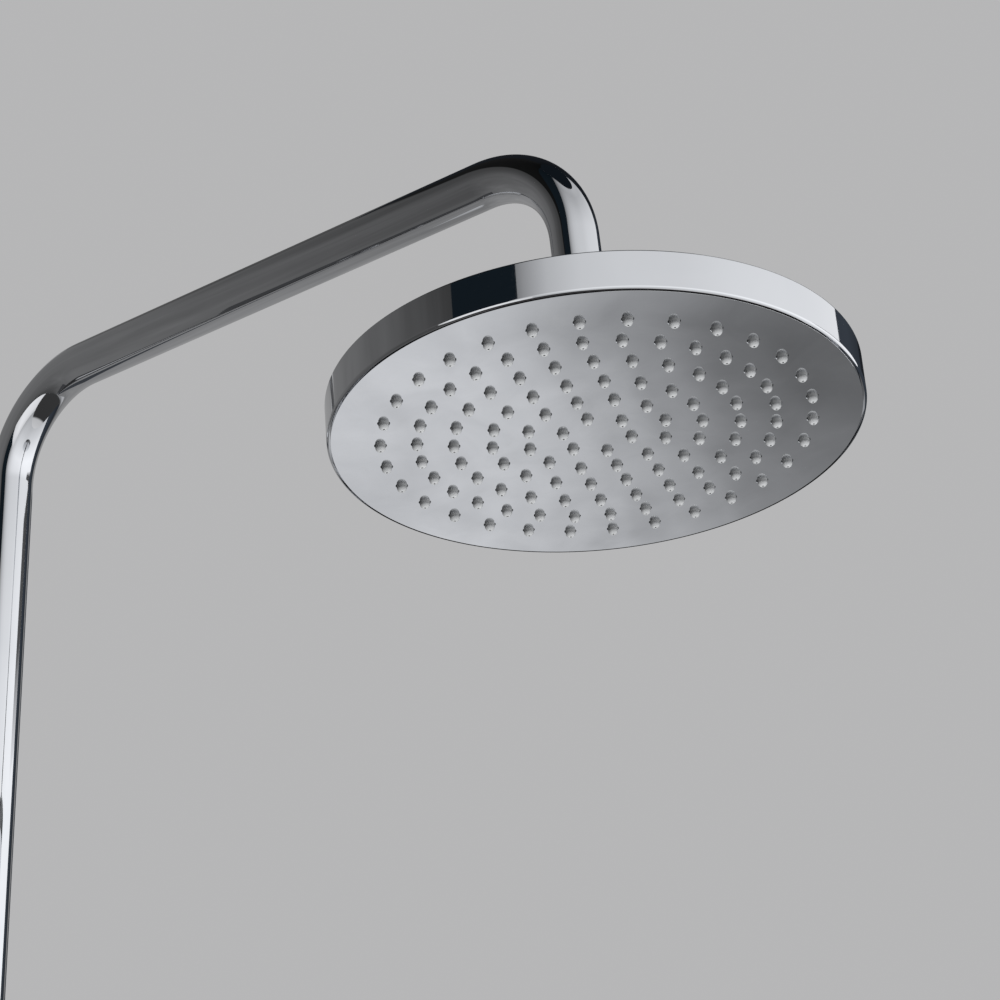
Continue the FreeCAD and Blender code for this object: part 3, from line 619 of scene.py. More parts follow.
# ---------------------------------------------------------------- finishes
@dataclass(frozen=True)
class Finish:
    """A surface finish: a colour and gloss that vary gently, over a fine relief."""
    slot: str
    first: Colour
    second: Colour
    rough: tuple[float, float]          # where it is smoothest and where roughest
    metallic: float = 0.0
    relief: Effect = Effect.GRAIN
    relief_scale: float = 2500.0
    relief_depth: float = 0.004         # millimetres
    relief_stretch: Colour = (1, 1, 1)
    cloud_scale: float = 45.0
    cloud_contrast: float = 1.6
    specks: float = 9.0                 # how much finer the specks on the clouds are
    relief_contrast: float = 1.5
    subsurface: float = 0.0
    subsurface_reach: float = 1.2       # millimetres
    coat: float = 0.0
    ior: float = 1.5

    def material(self) -> Material:
        """The finish as a material, built the first time it is asked for.

        Returns:
            The material.
        """
        name = self.slot + "_finish"
        found = bpy.data.materials.get(name)
        if found:
            return found
        material = bpy.data.materials.new(name)
        material.use_nodes = True
        graph = Graph(material.node_tree)
        plain = graph.place()
        clouds = masked(graph, Effect.SMUDGES_AND_REFLECTED_MOTTLE, plain, self.cloud_scale, self.cloud_contrast)
        specks = masked(graph, Effect.SMUDGES_AND_REFLECTED_MOTTLE, plain, self.cloud_scale * self.specks, self.cloud_contrast)
        relief = masked(graph, self.relief, graph.place(self.relief_stretch), self.relief_scale,
                        self.relief_contrast)
        bump = graph.add("ShaderNodeBump", {"Height": relief, "Strength": 1.0,
                                            "Distance": self.relief_depth * MM})
        shader = graph.add("ShaderNodeBsdfPrincipled", {
            "Base Color": graph.blend(clouds, self.first, self.second),
            "Roughness": graph.between(graph.sum(clouds, specks, "MULTIPLY"), *self.rough),
            "Metallic": self.metallic,
            "Normal": bump.outputs["Normal"],
            "Coat Weight": self.coat,
            "Subsurface Weight": self.subsurface,
            "IOR": self.ior,
        })
        if self.subsurface:
            shader.inputs["Subsurface Radius"].default_value = (1, 1, 1)
            shader.inputs["Subsurface Scale"].default_value = self.subsurface_reach * MM
        graph.add("ShaderNodeOutputMaterial", {"Surface": shader.outputs["BSDF"]})
        return material


CHROME = Finish("chrome", first=(0.585, 0.595, 0.61), second=(0.625, 0.63, 0.645), rough=(0.025, 0.085),
                metallic=1.0, relief=Effect.SMUDGES_AND_REFLECTED_MOTTLE, relief_scale=34.0, relief_depth=0.0035, cloud_scale=26)
SHELL_CHROME = Finish("shell_chrome", first=(0.59, 0.60, 0.615), second=(0.625, 0.63, 0.645),
                      rough=(0.02, 0.07), metallic=1.0, relief=Effect.SMUDGES_AND_REFLECTED_MOTTLE, relief_scale=30.0,
                      relief_depth=0.0015, cloud_scale=20)
BRASS = Finish("brass", first=(0.60, 0.42, 0.17), second=(0.68, 0.50, 0.22), rough=(0.20, 0.38), metallic=1.0,
               relief=Effect.TOOL_MARKS, relief_scale=12.0, relief_depth=0.006, relief_stretch=(12, 12, 220))
STEEL = Finish("steel", first=(0.42, 0.42, 0.415), second=(0.50, 0.50, 0.495), rough=(0.28, 0.44),
               metallic=1.0, relief=Effect.TOOL_MARKS, relief_scale=14.0, relief_stretch=(180, 10, 10))
# The face's strong lighter and darker clouds of tone are partly a painted reflection of a mottled wall and
# partly its own uneven satin tone
SATIN_FACE = Finish("satin_face", first=(0.77, 0.78, 0.80), second=(0.90, 0.91, 0.93), rough=(0.05, 0.11),
                    metallic=1.0, relief_scale=2600.0, relief_depth=0.0005, cloud_scale=30,
                    cloud_contrast=2.2)
SILICONE = Finish("silicone", first=(0.25, 0.255, 0.26), second=(0.31, 0.315, 0.32), rough=(0.26, 0.36),
                  relief_depth=0.002, subsurface=0.06, ior=1.36, cloud_scale=60)
RUBBER = Finish("rubber", first=(0.022, 0.022, 0.023), second=(0.040, 0.040, 0.040), rough=(0.55, 0.75),
                relief_depth=0.01)
BEARING_PLASTIC = Finish("bearing_plastic", first=(0.74, 0.74, 0.70), second=(0.80, 0.80, 0.77),
                         rough=(0.38, 0.52))
DARK_PLASTIC = Finish("dark_plastic", first=(0.045, 0.05, 0.055), second=(0.07, 0.075, 0.08),
                      rough=(0.42, 0.58), relief_depth=0.008)

KEPT_NODES = {
    "slip_rings": BEARING_PLASTIC, "ball_liner": BEARING_PLASTIC,
    "swivel_spigot": BRASS, "back_nut": BRASS,
    "set_screws": STEEL, "filter_screen": STEEL, "plate_screws": STEEL, "snap_ring": STEEL,
    "spigot_rings": RUBBER, "filter_washer": RUBBER, "ball_seal": RUBBER, "shell_seal": RUBBER,
    "perimeter_seal": RUBBER, "union_washer": RUBBER,
    "flow_regulator": DARK_PLASTIC, "water_plate": DARK_PLASTIC,
}


def dress(piece: Object, finish: Finish, body: str) -> None:
    """Give a piece its finish, hang it on its body's empty and hide the CAD node of its name.

    Args:
        piece: The finished mesh, named after its node with the ending "_piece".
        finish: Its finish.
        body: The body it rides on.
    """
    piece.data.materials.clear()
    piece.data.materials.append(finish.material())
    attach(piece, body)
    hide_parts(piece.name.removesuffix("_piece"))
    LOG.info("%s: %d faces, %s, rides on %s", piece.name, len(piece.data.polygons), finish.slot, body)


def dress_kept_nodes() -> None:
    """Give every CAD node that stays its finish."""
    for node, finish in KEPT_NODES.items():
        piece = frame["nodes"][node]
        if piece.material_slots:
            piece.material_slots[0].material = finish.material()
        else:
            piece.data.materials.append(finish.material())
        LOG.info("%s: kept, %s", node, finish.slot)


# ---------------------------------------------------------------- riser, foot and swivel
@dataclass
class Riser:
    """The straight tube from the valve up to the swivel, and its foot."""
    radius: float = 12.0
    wall: float = 1.2
    foot: float = -540.0
    top: float = 25.0
    sleeve_r: float = 10.75
    sleeve: float = 16.0
    bore_r: float = 7.5
    neck_r: float = 9.4
    neck_end: float = -565.0
    shoulder: float = 4.0
    chamfer: float = 1.2
    flange_r: float = 11.8
    flange_t: float = 3.0
    nut_flats: float = 32.0
    nut_low: float = -582.05
    nut_high: float = -560.95
    seat: float = -564.95
    thread_low: float = -581.05
    thread_high: float = -570.65
    thread_top: float = -570.05
    thread_r: float = 12.06
    thread_depth: float = 1.0
    thread_turns: int = 6
    relief: float = 0.3
    nut_gap: float = 0.1

    def tube(self) -> None:
        """The tube, open at both ends."""
        inner = self.radius - self.wall
        piece = ring("riser_tube_piece", inner, self.radius, self.foot, self.top, Facets.WIDE)
        dress(settle(piece, LAYOUT.riser(), Edge.FINE), CHROME, "column")

    def spigot(self) -> None:
        """The neck and flange that the union nut pulls on."""
        low = self.foot - self.shoulder
        face = self.neck_end - self.flange_t
        piece = turned("foot_spigot_piece", [
            *stair((self.bore_r, face), self.flange_r, self.neck_end, self.neck_r, low,
                   self.radius - self.chamfer),
            (self.radius, low + self.chamfer),
            *stair((self.radius, self.foot), self.sleeve_r, self.foot + self.sleeve, self.bore_r)])
        dress(settle(piece, LAYOUT.riser(), Edge.FINE), CHROME, "column")

    def union(self) -> None:
        """The loose hexagon nut, threaded inside."""
        piece = hexagon("union_nut_piece", self.nut_flats, self.nut_low, self.nut_high)
        turns = thread(self.thread_r, self.thread_depth, self.thread_low, self.thread_high, self.thread_turns)
        bore = turned("bore", [
            *stair((0, self.nut_low - OVER), self.thread_r), *turns,
            *stair((self.thread_r, self.thread_top), self.thread_r + self.relief, self.seat,
                   self.neck_r + self.nut_gap, self.nut_high + OVER, 0)])
        combine(piece, bore, Cut.AWAY)
        dress(settle(piece, LAYOUT.riser(), Edge.BOLD), CHROME, "union")


@dataclass
class Swivel:
    """The turning joint between riser and gooseneck."""
    tube_r: float = 12.0
    sleeve_low: float = 9.0
    sleeve_r: float = 10.75
    bore_r: float = 7.5
    riser_top: float = 25.0
    taper_top: float = 32.0
    socket_r: float = 15.45
    socket_top: float = 60.05
    socket_in: float = 10.25
    socket_floor: float = 34.0
    collar_in: float = 15.5
    collar_r: float = 18.5
    collar_low: float = 42.0
    collar_top: float = 69.0
    collar_round: float = 2.4
    collar_chamfer: float = 0.8
    lip_under: float = 66.0
    mouth_r: float = 12.3

    def socket(self) -> None:
        """Socket brazed on the riser, in which the gooseneck's spigot turns."""
        piece = turned("swivel_socket_piece", [
            *stair((self.bore_r, self.sleeve_low), self.sleeve_r, self.riser_top, self.tube_r),
            (self.socket_r, self.taper_top),
            *stair((self.socket_r, self.socket_top), self.socket_in, self.socket_floor, self.bore_r)],
            Facets.WIDE)
        dress(settle(piece, LAYOUT.riser(), Edge.PLAIN), CHROME, "column")

    def collar(self) -> None:
        """Collar over socket and spigot, closed in to the gooseneck."""
        round_z = self.collar_top - self.collar_round
        piece = turned("swivel_collar_piece", [
            (self.collar_in, self.collar_low), (self.collar_r - self.collar_chamfer, self.collar_low),
            (self.collar_r, self.collar_low + self.collar_chamfer),
            *arc((self.collar_r - self.collar_round, round_z), self.collar_round, 0, 90, steps=10),
            (self.mouth_r, self.collar_top), (self.mouth_r, self.lip_under),
            (self.collar_in, self.lip_under)], Facets.WIDE)
        dress(settle(piece, LAYOUT.riser(), Edge.PLAIN), CHROME, "column")


# ---------------------------------------------------------------- wall bracket
@dataclass
class WallBracket:
    """Plate, cover, post and the clamp that holds the riser off the wall."""
    plate_r: float = 26.0
    plate_t: float = 4.0
    boss_r: float = 6.0
    boss_end: float = 24.0
    hole_r: float = 2.6
    hole_sink: float = 2.3
    hole_place: float = 17.0
    cover_r: float = 29.0
    cover_depth: float = 13.0
    cover_wall: float = 1.6
    cover_round: float = 7.0
    post_r: float = 10.0
    run_gap: float = 0.05
    tip_r: float = 5.0
    tip_start: float = 30.0
    tip_end: float = 46.5
    grub_r: float = 2.0
    grub_place: float = 18.0
    clamp_r: float = 17.5
    clamp_in: float = 13.2
    clamp_half: float = 12.0
    clamp_chamfer: float = 0.8
    bush_r: float = 13.15
    bush_in: float = 12.05
    bush_flange_r: float = 15.0
    bush_flange_t: float = 1.2
    bush_slot: float = 2.0
    through: float = 40.0       # reach of a cutter that goes right through ring or bush

    def plate(self) -> None:
        """Steel plate with its boss and two countersunk holes."""
        piece = turned("wall_plate_piece",
                       stair((0, 0), self.plate_r, self.plate_t, self.boss_r, self.boss_end, 0))
        sink_low = self.plate_t - self.hole_sink
        holes = turned("holes", [*stair((0, -OVER), self.hole_r, sink_low),
                                 (self.hole_r + self.hole_sink + OVER, self.plate_t + OVER),
                                 (0, self.plate_t + OVER)], Facets.SMALL)
        combine(piece, spread(holes, on_circle(self.hole_place, 2)), Cut.AWAY)
        dress(settle(piece, LAYOUT.wall(), Edge.PLAIN), STEEL, "column")

    def cover(self) -> None:
        """Chromed cup over the plate."""
        hole_r = self.post_r + self.run_gap
        centre = (self.cover_r - self.cover_round, self.cover_depth - self.cover_round)
        piece = turned("cover_cap_piece", [
            (self.cover_r - self.cover_wall, 0), (self.cover_r, 0),
            *arc(centre, self.cover_round, 0, 90, steps=16),
            (hole_r, self.cover_depth), (hole_r, self.cover_depth - self.cover_wall),
            *arc(centre, self.cover_round - self.cover_wall, 90, 0, steps=12)], Facets.WIDE)
        dress(settle(piece, LAYOUT.wall(), Edge.PLAIN), CHROME, "column")

    def post(self) -> None:
        """Round post, hollowed to the clamp ring."""
        hollow = self.boss_r + self.run_gap
        axis = LAYOUT.offset()
        piece = turned("bracket_post_piece", stair((hollow, self.plate_t), self.post_r, axis, 0,
                                                   self.boss_end + self.run_gap, hollow))
        across = Vector((-self.through, 0, axis))
        combine(piece, pin(self.clamp_r + self.run_gap, 2 * self.through, across, Along.X), Cut.AWAY)
        combine(piece, ring("tip", 0, self.tip_r, self.tip_start, self.tip_end, Facets.SMALL), Cut.WELD)
        combine(piece, pin(self.grub_r, 2 * self.post_r, Vector((0, 0, self.grub_place)), Along.X), Cut.AWAY)
        dress(settle(piece, LAYOUT.wall(), Edge.THIN), CHROME, "column")

    def clamp(self) -> None:
        """Chromed ring round the riser."""
        inner = self.clamp_r - self.clamp_chamfer
        edge = self.clamp_half - self.clamp_chamfer
        piece = turned("clamp_ring_piece", [
            (self.clamp_in, -self.clamp_half), (inner, -self.clamp_half), (self.clamp_r, -edge),
            (self.clamp_r, edge), (inner, self.clamp_half), (self.clamp_in, self.clamp_half)], Facets.WIDE)
        behind = Vector((-self.through / 2, 0, 0))
        combine(piece, pin(self.tip_r + self.run_gap, self.through / 4, behind, Along.X), Cut.AWAY)
        combine(piece, pin(self.grub_r, self.through, Vector((0, 0, 0)), Along.MINUS_Y), Cut.AWAY)
        dress(settle(piece, LAYOUT.riser(), Edge.FINE), CHROME, "column")

    def bush(self) -> None:
        """Split plastic bush in the clamp ring."""
        end = self.clamp_half + self.bush_flange_t
        piece = turned("clamp_bush_piece", stair(
            (self.bush_in, -end), self.bush_flange_r, -self.clamp_half, self.bush_r, self.clamp_half,
            self.bush_flange_r, end, self.bush_in))
        pick()
        bpy.ops.mesh.primitive_cube_add(size=1, location=(self.bush_flange_r * MM, 0, 0),
                                        scale=(self.through / 2 * MM, self.bush_slot * MM, self.through * MM))
        slot = named("slot")
        apply_transform()
        combine(piece, slot, Cut.AWAY)
        dress(settle(piece, LAYOUT.riser(), Edge.FINE), DARK_PLASTIC, "column")


# ---------------------------------------------------------------- gooseneck
@dataclass
class Gooseneck:
    """The bent tube: up from the swivel, out level and down to the head."""
    radius: float = 12.0
    wall: float = 1.2
    start: float = 65.0
    level: float = 440.0        # height of the arm's axis
    bend_r: float = 57.0
    support: float = 4.0        # short run beside each bend that keeps the straight run's shading straight
    bend_steps: int = 48
    nipple_end: float = 25.0
    nipple_r: float = 9.3
    nipple_bore: float = 6.5
    shoulder_face: float = 36.3
    shoulder_t: float = 1.8
    sleeve_r: float = 10.75
    sleeve: float = 16.0

    def run(self, offset: Vector) -> None:
        """Extrude the open end straight on, with a short run at both ends of it.

        Args:
            offset: The way from this end to the next, in metres.
        """
        short = offset.normalized() * self.support * MM
        for part in (short, offset - 2 * short, short):
            bpy.ops.mesh.extrude_region_move(TRANSFORM_OT_translate={"value": part})

    def bend(self, angle: float, centre: Vector) -> None:
        """Spin the open end round a bend's centre, from up or level towards down."""
        bpy.ops.mesh.spin(steps=self.bend_steps, angle=radians(angle), center=centre, axis=(0, -1, 0))

    def tube_end(self) -> float:
        """Distance of the tube's end from the ball's centre."""
        return self.shoulder_face + self.shoulder_t

    def tube(self) -> None:
        """Draw the tube along its run and bends, then give it its wall."""
        lean = radians(LAYOUT.drop_lean)
        ball = LAYOUT.ball() / MM
        left = LAYOUT.offset()
        right = ball.x - (self.level - ball.z) * tan(lean)      # where the drop's line meets the arm's
        drop = (self.level - ball.z) / cos(lean) - self.tube_end()
        second_angle = 90 - LAYOUT.drop_lean
        second_run = self.bend_r * tan(radians(second_angle) / 2)
        low = self.level - self.bend_r
        pick()
        bpy.ops.mesh.primitive_circle_add(vertices=Facets.WIDE, radius=self.radius * MM,
                                          location=(left * MM, 0, self.start * MM))
        piece = named("gooseneck_tube_piece")
        apply_transform()
        with editing(piece):
            self.run(Vector((0, 0, low - self.start)) * MM)
            self.bend(90, Vector((left + self.bend_r, 0, low)) * MM)
            self.run(Vector((right - left - self.bend_r - second_run, 0, 0)) * MM)
            self.bend(second_angle, Vector((right - second_run, 0, low)) * MM)
            self.run(Vector((sin(lean), 0, -cos(lean))) * (drop - second_run) * MM)
            mend()
        shell = piece.modifiers.new("wall", "SOLIDIFY")
        shell.thickness = self.wall * MM
        shell.offset = -1
        shell.use_even_offset = True
        bpy.ops.object.modifier_apply(modifier=shell.name)
        dress(settle(piece, Matrix.Identity(4), Edge.PLAIN), CHROME, "arm")

    def nipple(self) -> None:
        """Threaded end brazed into the drop."""
        end = self.tube_end()
        piece = turned("outlet_nipple_piece", stair(
            (self.nipple_bore, self.nipple_end), self.nipple_r, self.shoulder_face, self.radius, end,
            self.sleeve_r, end + self.sleeve, self.nipple_bore))
        dress(settle(piece, LAYOUT.drop(), Edge.PLAIN), CHROME, "arm")


# ---------------------------------------------------------------- ball joint
@dataclass
class BallJoint:
    """Ball and hexagon on the drop, cup and fluted collar on the head."""
    ball_r: float = 11.0
    ball_flat: float = -10.0
    bore_r: float = 3.8
    stem_r: float = 6.5
    hex_flats: float = 24.0
    hex_low: float = 17.0
    hex_high: float = 36.0
    regulator_floor: float = 19.0
    regulator_r: float = 6.05
    filter_floor: float = 23.0
    thread_r: float = 9.35
    seat_r: float = 12.55
    cup_thread_r: float = 16.0
    cup_top: float = -0.5
    flange_r: float = 19.0
    flange_top: float = -10.0
    flange_bottom: float = -14.0
    tail_r: float = 11.0
    tail_end: float = -25.0
    tail_bore: float = 7.2
    groove_r: float = 9.91
    groove_floor: float = -10.25
    collar_in: float = 16.05
    collar_r: float = 19.5
    collar_bottom: float = -9.4
    collar_seat: float = 7.5
    collar_top: float = 10.5
    collar_mouth: float = 11.5
    collar_round: float = 4.5
    flutes: int = 12
    flute_r: float = 1.2
    flute_depth: float = 0.7
    gasket_r: float = 18.5
    gasket_in: float = 11.3
    gasket_t: float = 1.0

    def ball_nut(self) -> None:
        """Hollow ball, stem and hexagon in one."""
        stem_low = sphere_r(self.ball_r, self.stem_r)
        piece = hexagon("ball_nut_piece", self.hex_flats, self.hex_low, self.hex_high)
        ball = turned("ball", [
            (0, self.ball_flat), *sphere_zone(self.ball_r, self.ball_flat, stem_low, steps=36),
            (self.stem_r, self.hex_low + OVER), (0, self.hex_low + OVER)])
        combine(piece, ball, Cut.WELD)
        bore = turned("bore", stair(
            (0, self.ball_flat - OVER), self.bore_r, self.regulator_floor, self.regulator_r,
            self.filter_floor, self.thread_r, self.hex_high + OVER, 0), Facets.BORE)
        combine(piece, bore, Cut.AWAY)
        dress(settle(piece, LAYOUT.drop(), Edge.FINE), CHROME, "arm")

    def cup(self) -> None:
        """Cup with its flange on the head and its tail through it."""
        groove_top = -sphere_r(self.seat_r, self.groove_r)
        piece = turned("swivel_cup_piece", [
            *stair((self.tail_bore, self.tail_end), self.tail_r, self.flange_bottom, self.flange_r,
                   self.flange_top, self.cup_thread_r, self.cup_top),
            *sphere_zone(self.seat_r, self.cup_top, groove_top),
            (self.groove_r, self.groove_floor), (self.tail_bore, self.groove_floor)])
        dress(settle(piece, LAYOUT.joint(), Edge.BOLD), CHROME, "head")

    def collar(self) -> None:
        """Fluted collar that holds the ball down."""
        round_z = self.collar_top - self.collar_round
        piece = turned("ball_collar_piece", [
            (self.collar_in, self.collar_bottom), (self.collar_r, self.collar_bottom),
            *arc((self.collar_r - self.collar_round, round_z), self.collar_round, 0, 90, steps=16),
            (self.collar_mouth, self.collar_top),
            *sphere_zone(self.seat_r, self.collar_seat, self.cup_top), (self.collar_in, self.cup_top)],
            Facets.FLUTED)
        flute = ring("flute", 0, self.flute_r, self.collar_bottom - OVER, self.collar_top + OVER, Facets.PIN)
        circle = self.collar_r + self.flute_r - self.flute_depth
        combine(piece, spread(flute, on_circle(circle, self.flutes)), Cut.AWAY)
        dress(settle(piece, LAYOUT.joint(), Edge.FINE), CHROME, "head")

    def gasket(self) -> None:
        """Rubber ring under the cup's flange."""
        piece = ring("neck_gasket_piece", self.gasket_in, self.gasket_r, self.flange_bottom - self.gasket_t,
                     self.flange_bottom)
        dress(settle(piece, LAYOUT.joint(), Edge.PLAIN), RUBBER, "head")


# ---------------------------------------------------------------- rain head
@dataclass
class RainHead:
    """The flat round head: chromed shell, satin face and silicone nozzles."""
    radius: float = 125.0
    bottom: float = 0.3
    rim_top: float = 20.0
    foot_round: float = 1.6
    foot_end: float = 20.0      # degrees from straight down at which the foot's round ends
    top_round: float = 0.9
    rim_in: float = 122.4
    lip_top: float = 2.5
    dome_top: float = 27.0
    dome_bulge: float = 1.4
    dome_wall: float = 2.0
    dome_flat_r: float = 20.0
    hole_r: float = 11.3
    chamber_r: float = 118.5
    shoulder: float = 14.1
    snap_low: float = 5.8
    snap_high: float = 7.6
    shell_groove_r: float = 123.6
    skirt_groove_r: float = 121.3
    face_r: float = 123.1
    face_edge: float = 0.05
    face_back: float = 4.0
    face_steps: int = 40
    crown: float = 1.57
    step: float = 2.1
    skirt_r: float = 122.3
    skirt_in: float = 118.9
    skirt_top: float = 11.0
    mat_t: float = 1.5
    mat_r: float = 114.0
    screw_circle: float = 108.5
    screw_r: float = 1.5
    screws: int = 12
    hole_clear: float = 2.95
    hole_chamfer: float = 0.05
    hole_over: float = 2.0
    nozzle_r: float = 2.4
    root_r: float = 2.8
    root_low: float = 1.2
    root_sink: float = 0.4
    nozzle_length: float = 3.2
    nozzle_side: float = 1.1
    tip_r: float = 1.1
    bore_r: float = 0.5
    inlet_r: float = 1.2
    inlet_over: float = 3.0     # how far an inlet's cutter runs past the mat
    phase: float = 52.1
    rings: list[tuple[float, int]] = field(default_factory=lambda: [
        (16.35, 6), (32.7, 12), (49.0, 18), (66.5, 24), (83.4, 30), (100.3, 30)])

    def face_height(self, radius: float) -> float:
        """Height of the convex face, zero at the outer nozzle ring, past which it turns level at its edge.

        Args:
            radius: Distance from the head's middle.

        Returns:
            The height in millimetres.
        """
        outer = self.rings[-1][0]
        past = max(radius - outer, 0)
        turn = past - past ** 2 / 2 / (self.face_r - outer)
        return self.crown * (min(radius, outer) ** 2 / outer ** 2 - 1 + 2 * turn / outer)

    def places(self) -> list[Vector]:
        """Every nozzle's place on the face.

        Returns:
            The places in millimetres.
        """
        found = []
        for radius, count in self.rings:
            lift = Vector((0, 0, self.face_height(radius)))
            found += [spot + lift for spot in on_circle(radius, count, self.phase)]
        return found

    def shell(self) -> None:
        """Mirror rim and low dome in one."""
        edge_r = self.radius - self.top_round
        foot = arc((self.radius - self.foot_round, self.bottom + self.foot_round), self.foot_round,
                   self.foot_end - 90, 0, steps=14)
        lip_in = foot[0][0]
        inner_z = self.rim_top - self.dome_wall
        under = self.dome_top - self.dome_wall
        piece = turned("top_shell_piece", [
            *foot,
            *arc((edge_r, self.rim_top - self.top_round), self.top_round, 0, 90),
            *bow((edge_r, self.rim_top), (self.dome_flat_r, self.dome_top), self.dome_bulge, steps=32)[1:],
            (self.hole_r, self.dome_top), (self.hole_r, under),
            *bow((self.dome_flat_r, under), (self.chamber_r, inner_z), self.dome_bulge, steps=20),
            *stair((self.chamber_r, self.shoulder), self.rim_in, self.snap_high, self.shell_groove_r,
                   self.snap_low, self.rim_in, self.lip_top, lip_in)], Facets.HEAD)
        dress(settle(piece, LAYOUT.head()), SHELL_CHROME, "head")

    def face(self) -> None:
        """Convex satin face with a chamfered hole for every nozzle."""
        level_r = self.face_r - self.face_edge
        radii = [level_r * k / self.face_steps for k in range(1, self.face_steps + 1)]
        piece = turned("face_plate_piece", [
            (0, self.face_height(0)), *[(r, self.face_height(r)) for r in radii],
            (self.face_r, self.face_height(level_r) + self.face_edge),
            *stair((self.face_r, self.step), self.skirt_r, self.snap_low, self.skirt_groove_r, self.snap_high,
                   self.skirt_r, self.skirt_top, self.skirt_in, self.face_back, 0)], Facets.HEAD)
        clear = self.hole_clear
        wide = clear + self.hole_chamfer
        high = self.face_back + self.hole_over + OVER
        hole = turned("hole", [(0, -self.hole_over), (wide + self.hole_over, -self.hole_over), (wide, 0),
                               (clear, self.hole_chamfer), (clear, high), (0, high)], Facets.TINY)
        combine(piece, spread(hole, self.places()), Cut.AWAY)
        dress(settle(piece, LAYOUT.head()), SATIN_FACE, "head")

    def mat(self) -> None:
        """Silicone sheet with all its nozzles."""
        high = self.face_back + self.mat_t
        piece = ring("nozzle_mat_piece", 0, self.mat_r, self.face_back, high, Facets.WIDE)
        inset = self.nozzle_r - self.tip_r
        fall = self.nozzle_length - self.nozzle_side
        dome_r = (inset ** 2 + fall ** 2) / (2 * inset)
        sweep = degrees(atan2(fall, dome_r - inset))
        root = self.face_back + self.root_sink
        nozzle = turned("nozzle", [
            (0, -self.nozzle_length),
            *arc((self.nozzle_r - dome_r, -self.nozzle_side), dome_r, -sweep, 0, steps=5),
            (self.nozzle_r, 0), (self.root_r, self.root_low), (self.root_r, root), (0, root)], Facets.TINY)
        combine(piece, spread(nozzle, self.places()), Cut.WELD)
        bore = turned("bore", [
            *stair((0, -self.nozzle_length - OVER), self.bore_r, -self.nozzle_side),
            *stair((self.inlet_r, self.face_back), self.inlet_r, high + self.inlet_over, 0)], Facets.WATERWAY)
        combine(piece, spread(bore, self.places()), Cut.AWAY)
        screw = ring("screw", 0, self.screw_r, 0, high + OVER, Facets.TINY)
        combine(piece, spread(screw, on_circle(self.screw_circle, self.screws)), Cut.AWAY)
        dress(settle(piece, LAYOUT.head()), SILICONE, "head")


# ---------------------------------------------------------------- studio
STAND = Vector((0.45, 0, 0))    # where the round sheets' axis stands
STAND_R = 2.0                   # and how far from it they are
IN_FRONT = 1.98                 # the same for one that stands just in front of another
FLOOR_LEVEL = -1.66             # in metres, as all of the studio
CLOUD_SCALE, CLOUD_CONTRAST = 7.0, 2.2      # the soft clouds on a sheet
EVEN: Stops = ((-2.0, 1.0), (2.0, 1.0))     # the same light all over a sheet


class Show(Enum):
    """Which rays see a surface of the studio."""
    ALL = "all"
    MIRRORED = "mirrored"


@dataclass(frozen=True)
class Sheet:
    """A sheet of the studio that only mirror-like surfaces see."""
    name: str
    level: Colour               # the most light it gives
    across: Stops = EVEN        # share of it along the sheet, which starts and ends with the stops
    up: Stops = EVEN            # share of it by height in metres

    def material(self, across: str, lean: float = 0.0, clouds: float = 0.0) -> Material:
        """Plain light that follows the stops.

        Args:
            across: "turn" for degrees round the vertical through the origin, or the axis to read metres on.
            lean: How much the lines of equal height rise along Y.
            clouds: Depth of soft clouds in it.

        Returns:
            The material.
        """
        material = bpy.data.materials.new(self.name)
        material.use_nodes = True
        graph = Graph(material.node_tree)
        place = graph.place()
        split = graph.add("ShaderNodeSeparateXYZ", {"Vector": place}).outputs
        if across == "turn":
            turn = graph.sum(split["Y"], split["X"], "ARCTAN2")
            along = graph.sum(turn, degrees(1), "MULTIPLY")
        else:
            along = split[across]
        height = graph.sum(split["Z"], graph.sum(split["Y"], lean, "MULTIPLY"), "SUBTRACT")
        share = graph.sum(graph.curve(along, self.across), graph.curve(height, self.up), "MULTIPLY")
        if clouds:
            mask = masked(graph, Effect.SMUDGES_AND_REFLECTED_MOTTLE, place, CLOUD_SCALE, CLOUD_CONTRAST)
            share = graph.sum(share, graph.between(mask, 1 - clouds, 1 + clouds), "MULTIPLY")
        light = graph.add("ShaderNodeEmission", {"Color": (*self.level, 1), "Strength": share})
        graph.add("ShaderNodeOutputMaterial", {"Surface": light.outputs["Emission"]})
        material.cycles.emission_sampling = "NONE"
        return material


@dataclass(frozen=True)
class RoundSheet(Sheet):
    """A sheet that stands on a circle round the arm."""
    radius: float = STAND_R
    steps: int = 24

    def build(self) -> Object:
        """Spin a vertical line into the sheet.

        Returns:
            The sheet, with its object on that axis.
        """
        start, end = (radians(stops[0]) for stops in (self.across[0], self.across[-1]))
        low, high = self.up[0][0], self.up[-1][0]
        pick()
        bpy.ops.mesh.primitive_plane_add(size=MM)
        piece = named(self.name)
        with editing(piece):
            bpy.ops.mesh.merge(type="CENTER")
            bpy.ops.transform.translate(value=Vector((cos(start), sin(start), 0)) * self.radius
                                        + Vector((0, 0, low)))
            bpy.ops.mesh.extrude_region_move(TRANSFORM_OT_translate={"value": (0, 0, high - low)})
            bpy.ops.mesh.select_all(action="SELECT")
            bpy.ops.mesh.spin(steps=self.steps, angle=end - start, center=(0, 0, 0), axis=(0, 0, -1))
        bpy.ops.object.shade_smooth()
        piece.location = STAND
        piece.data.materials.append(self.material("turn"))
        return piece


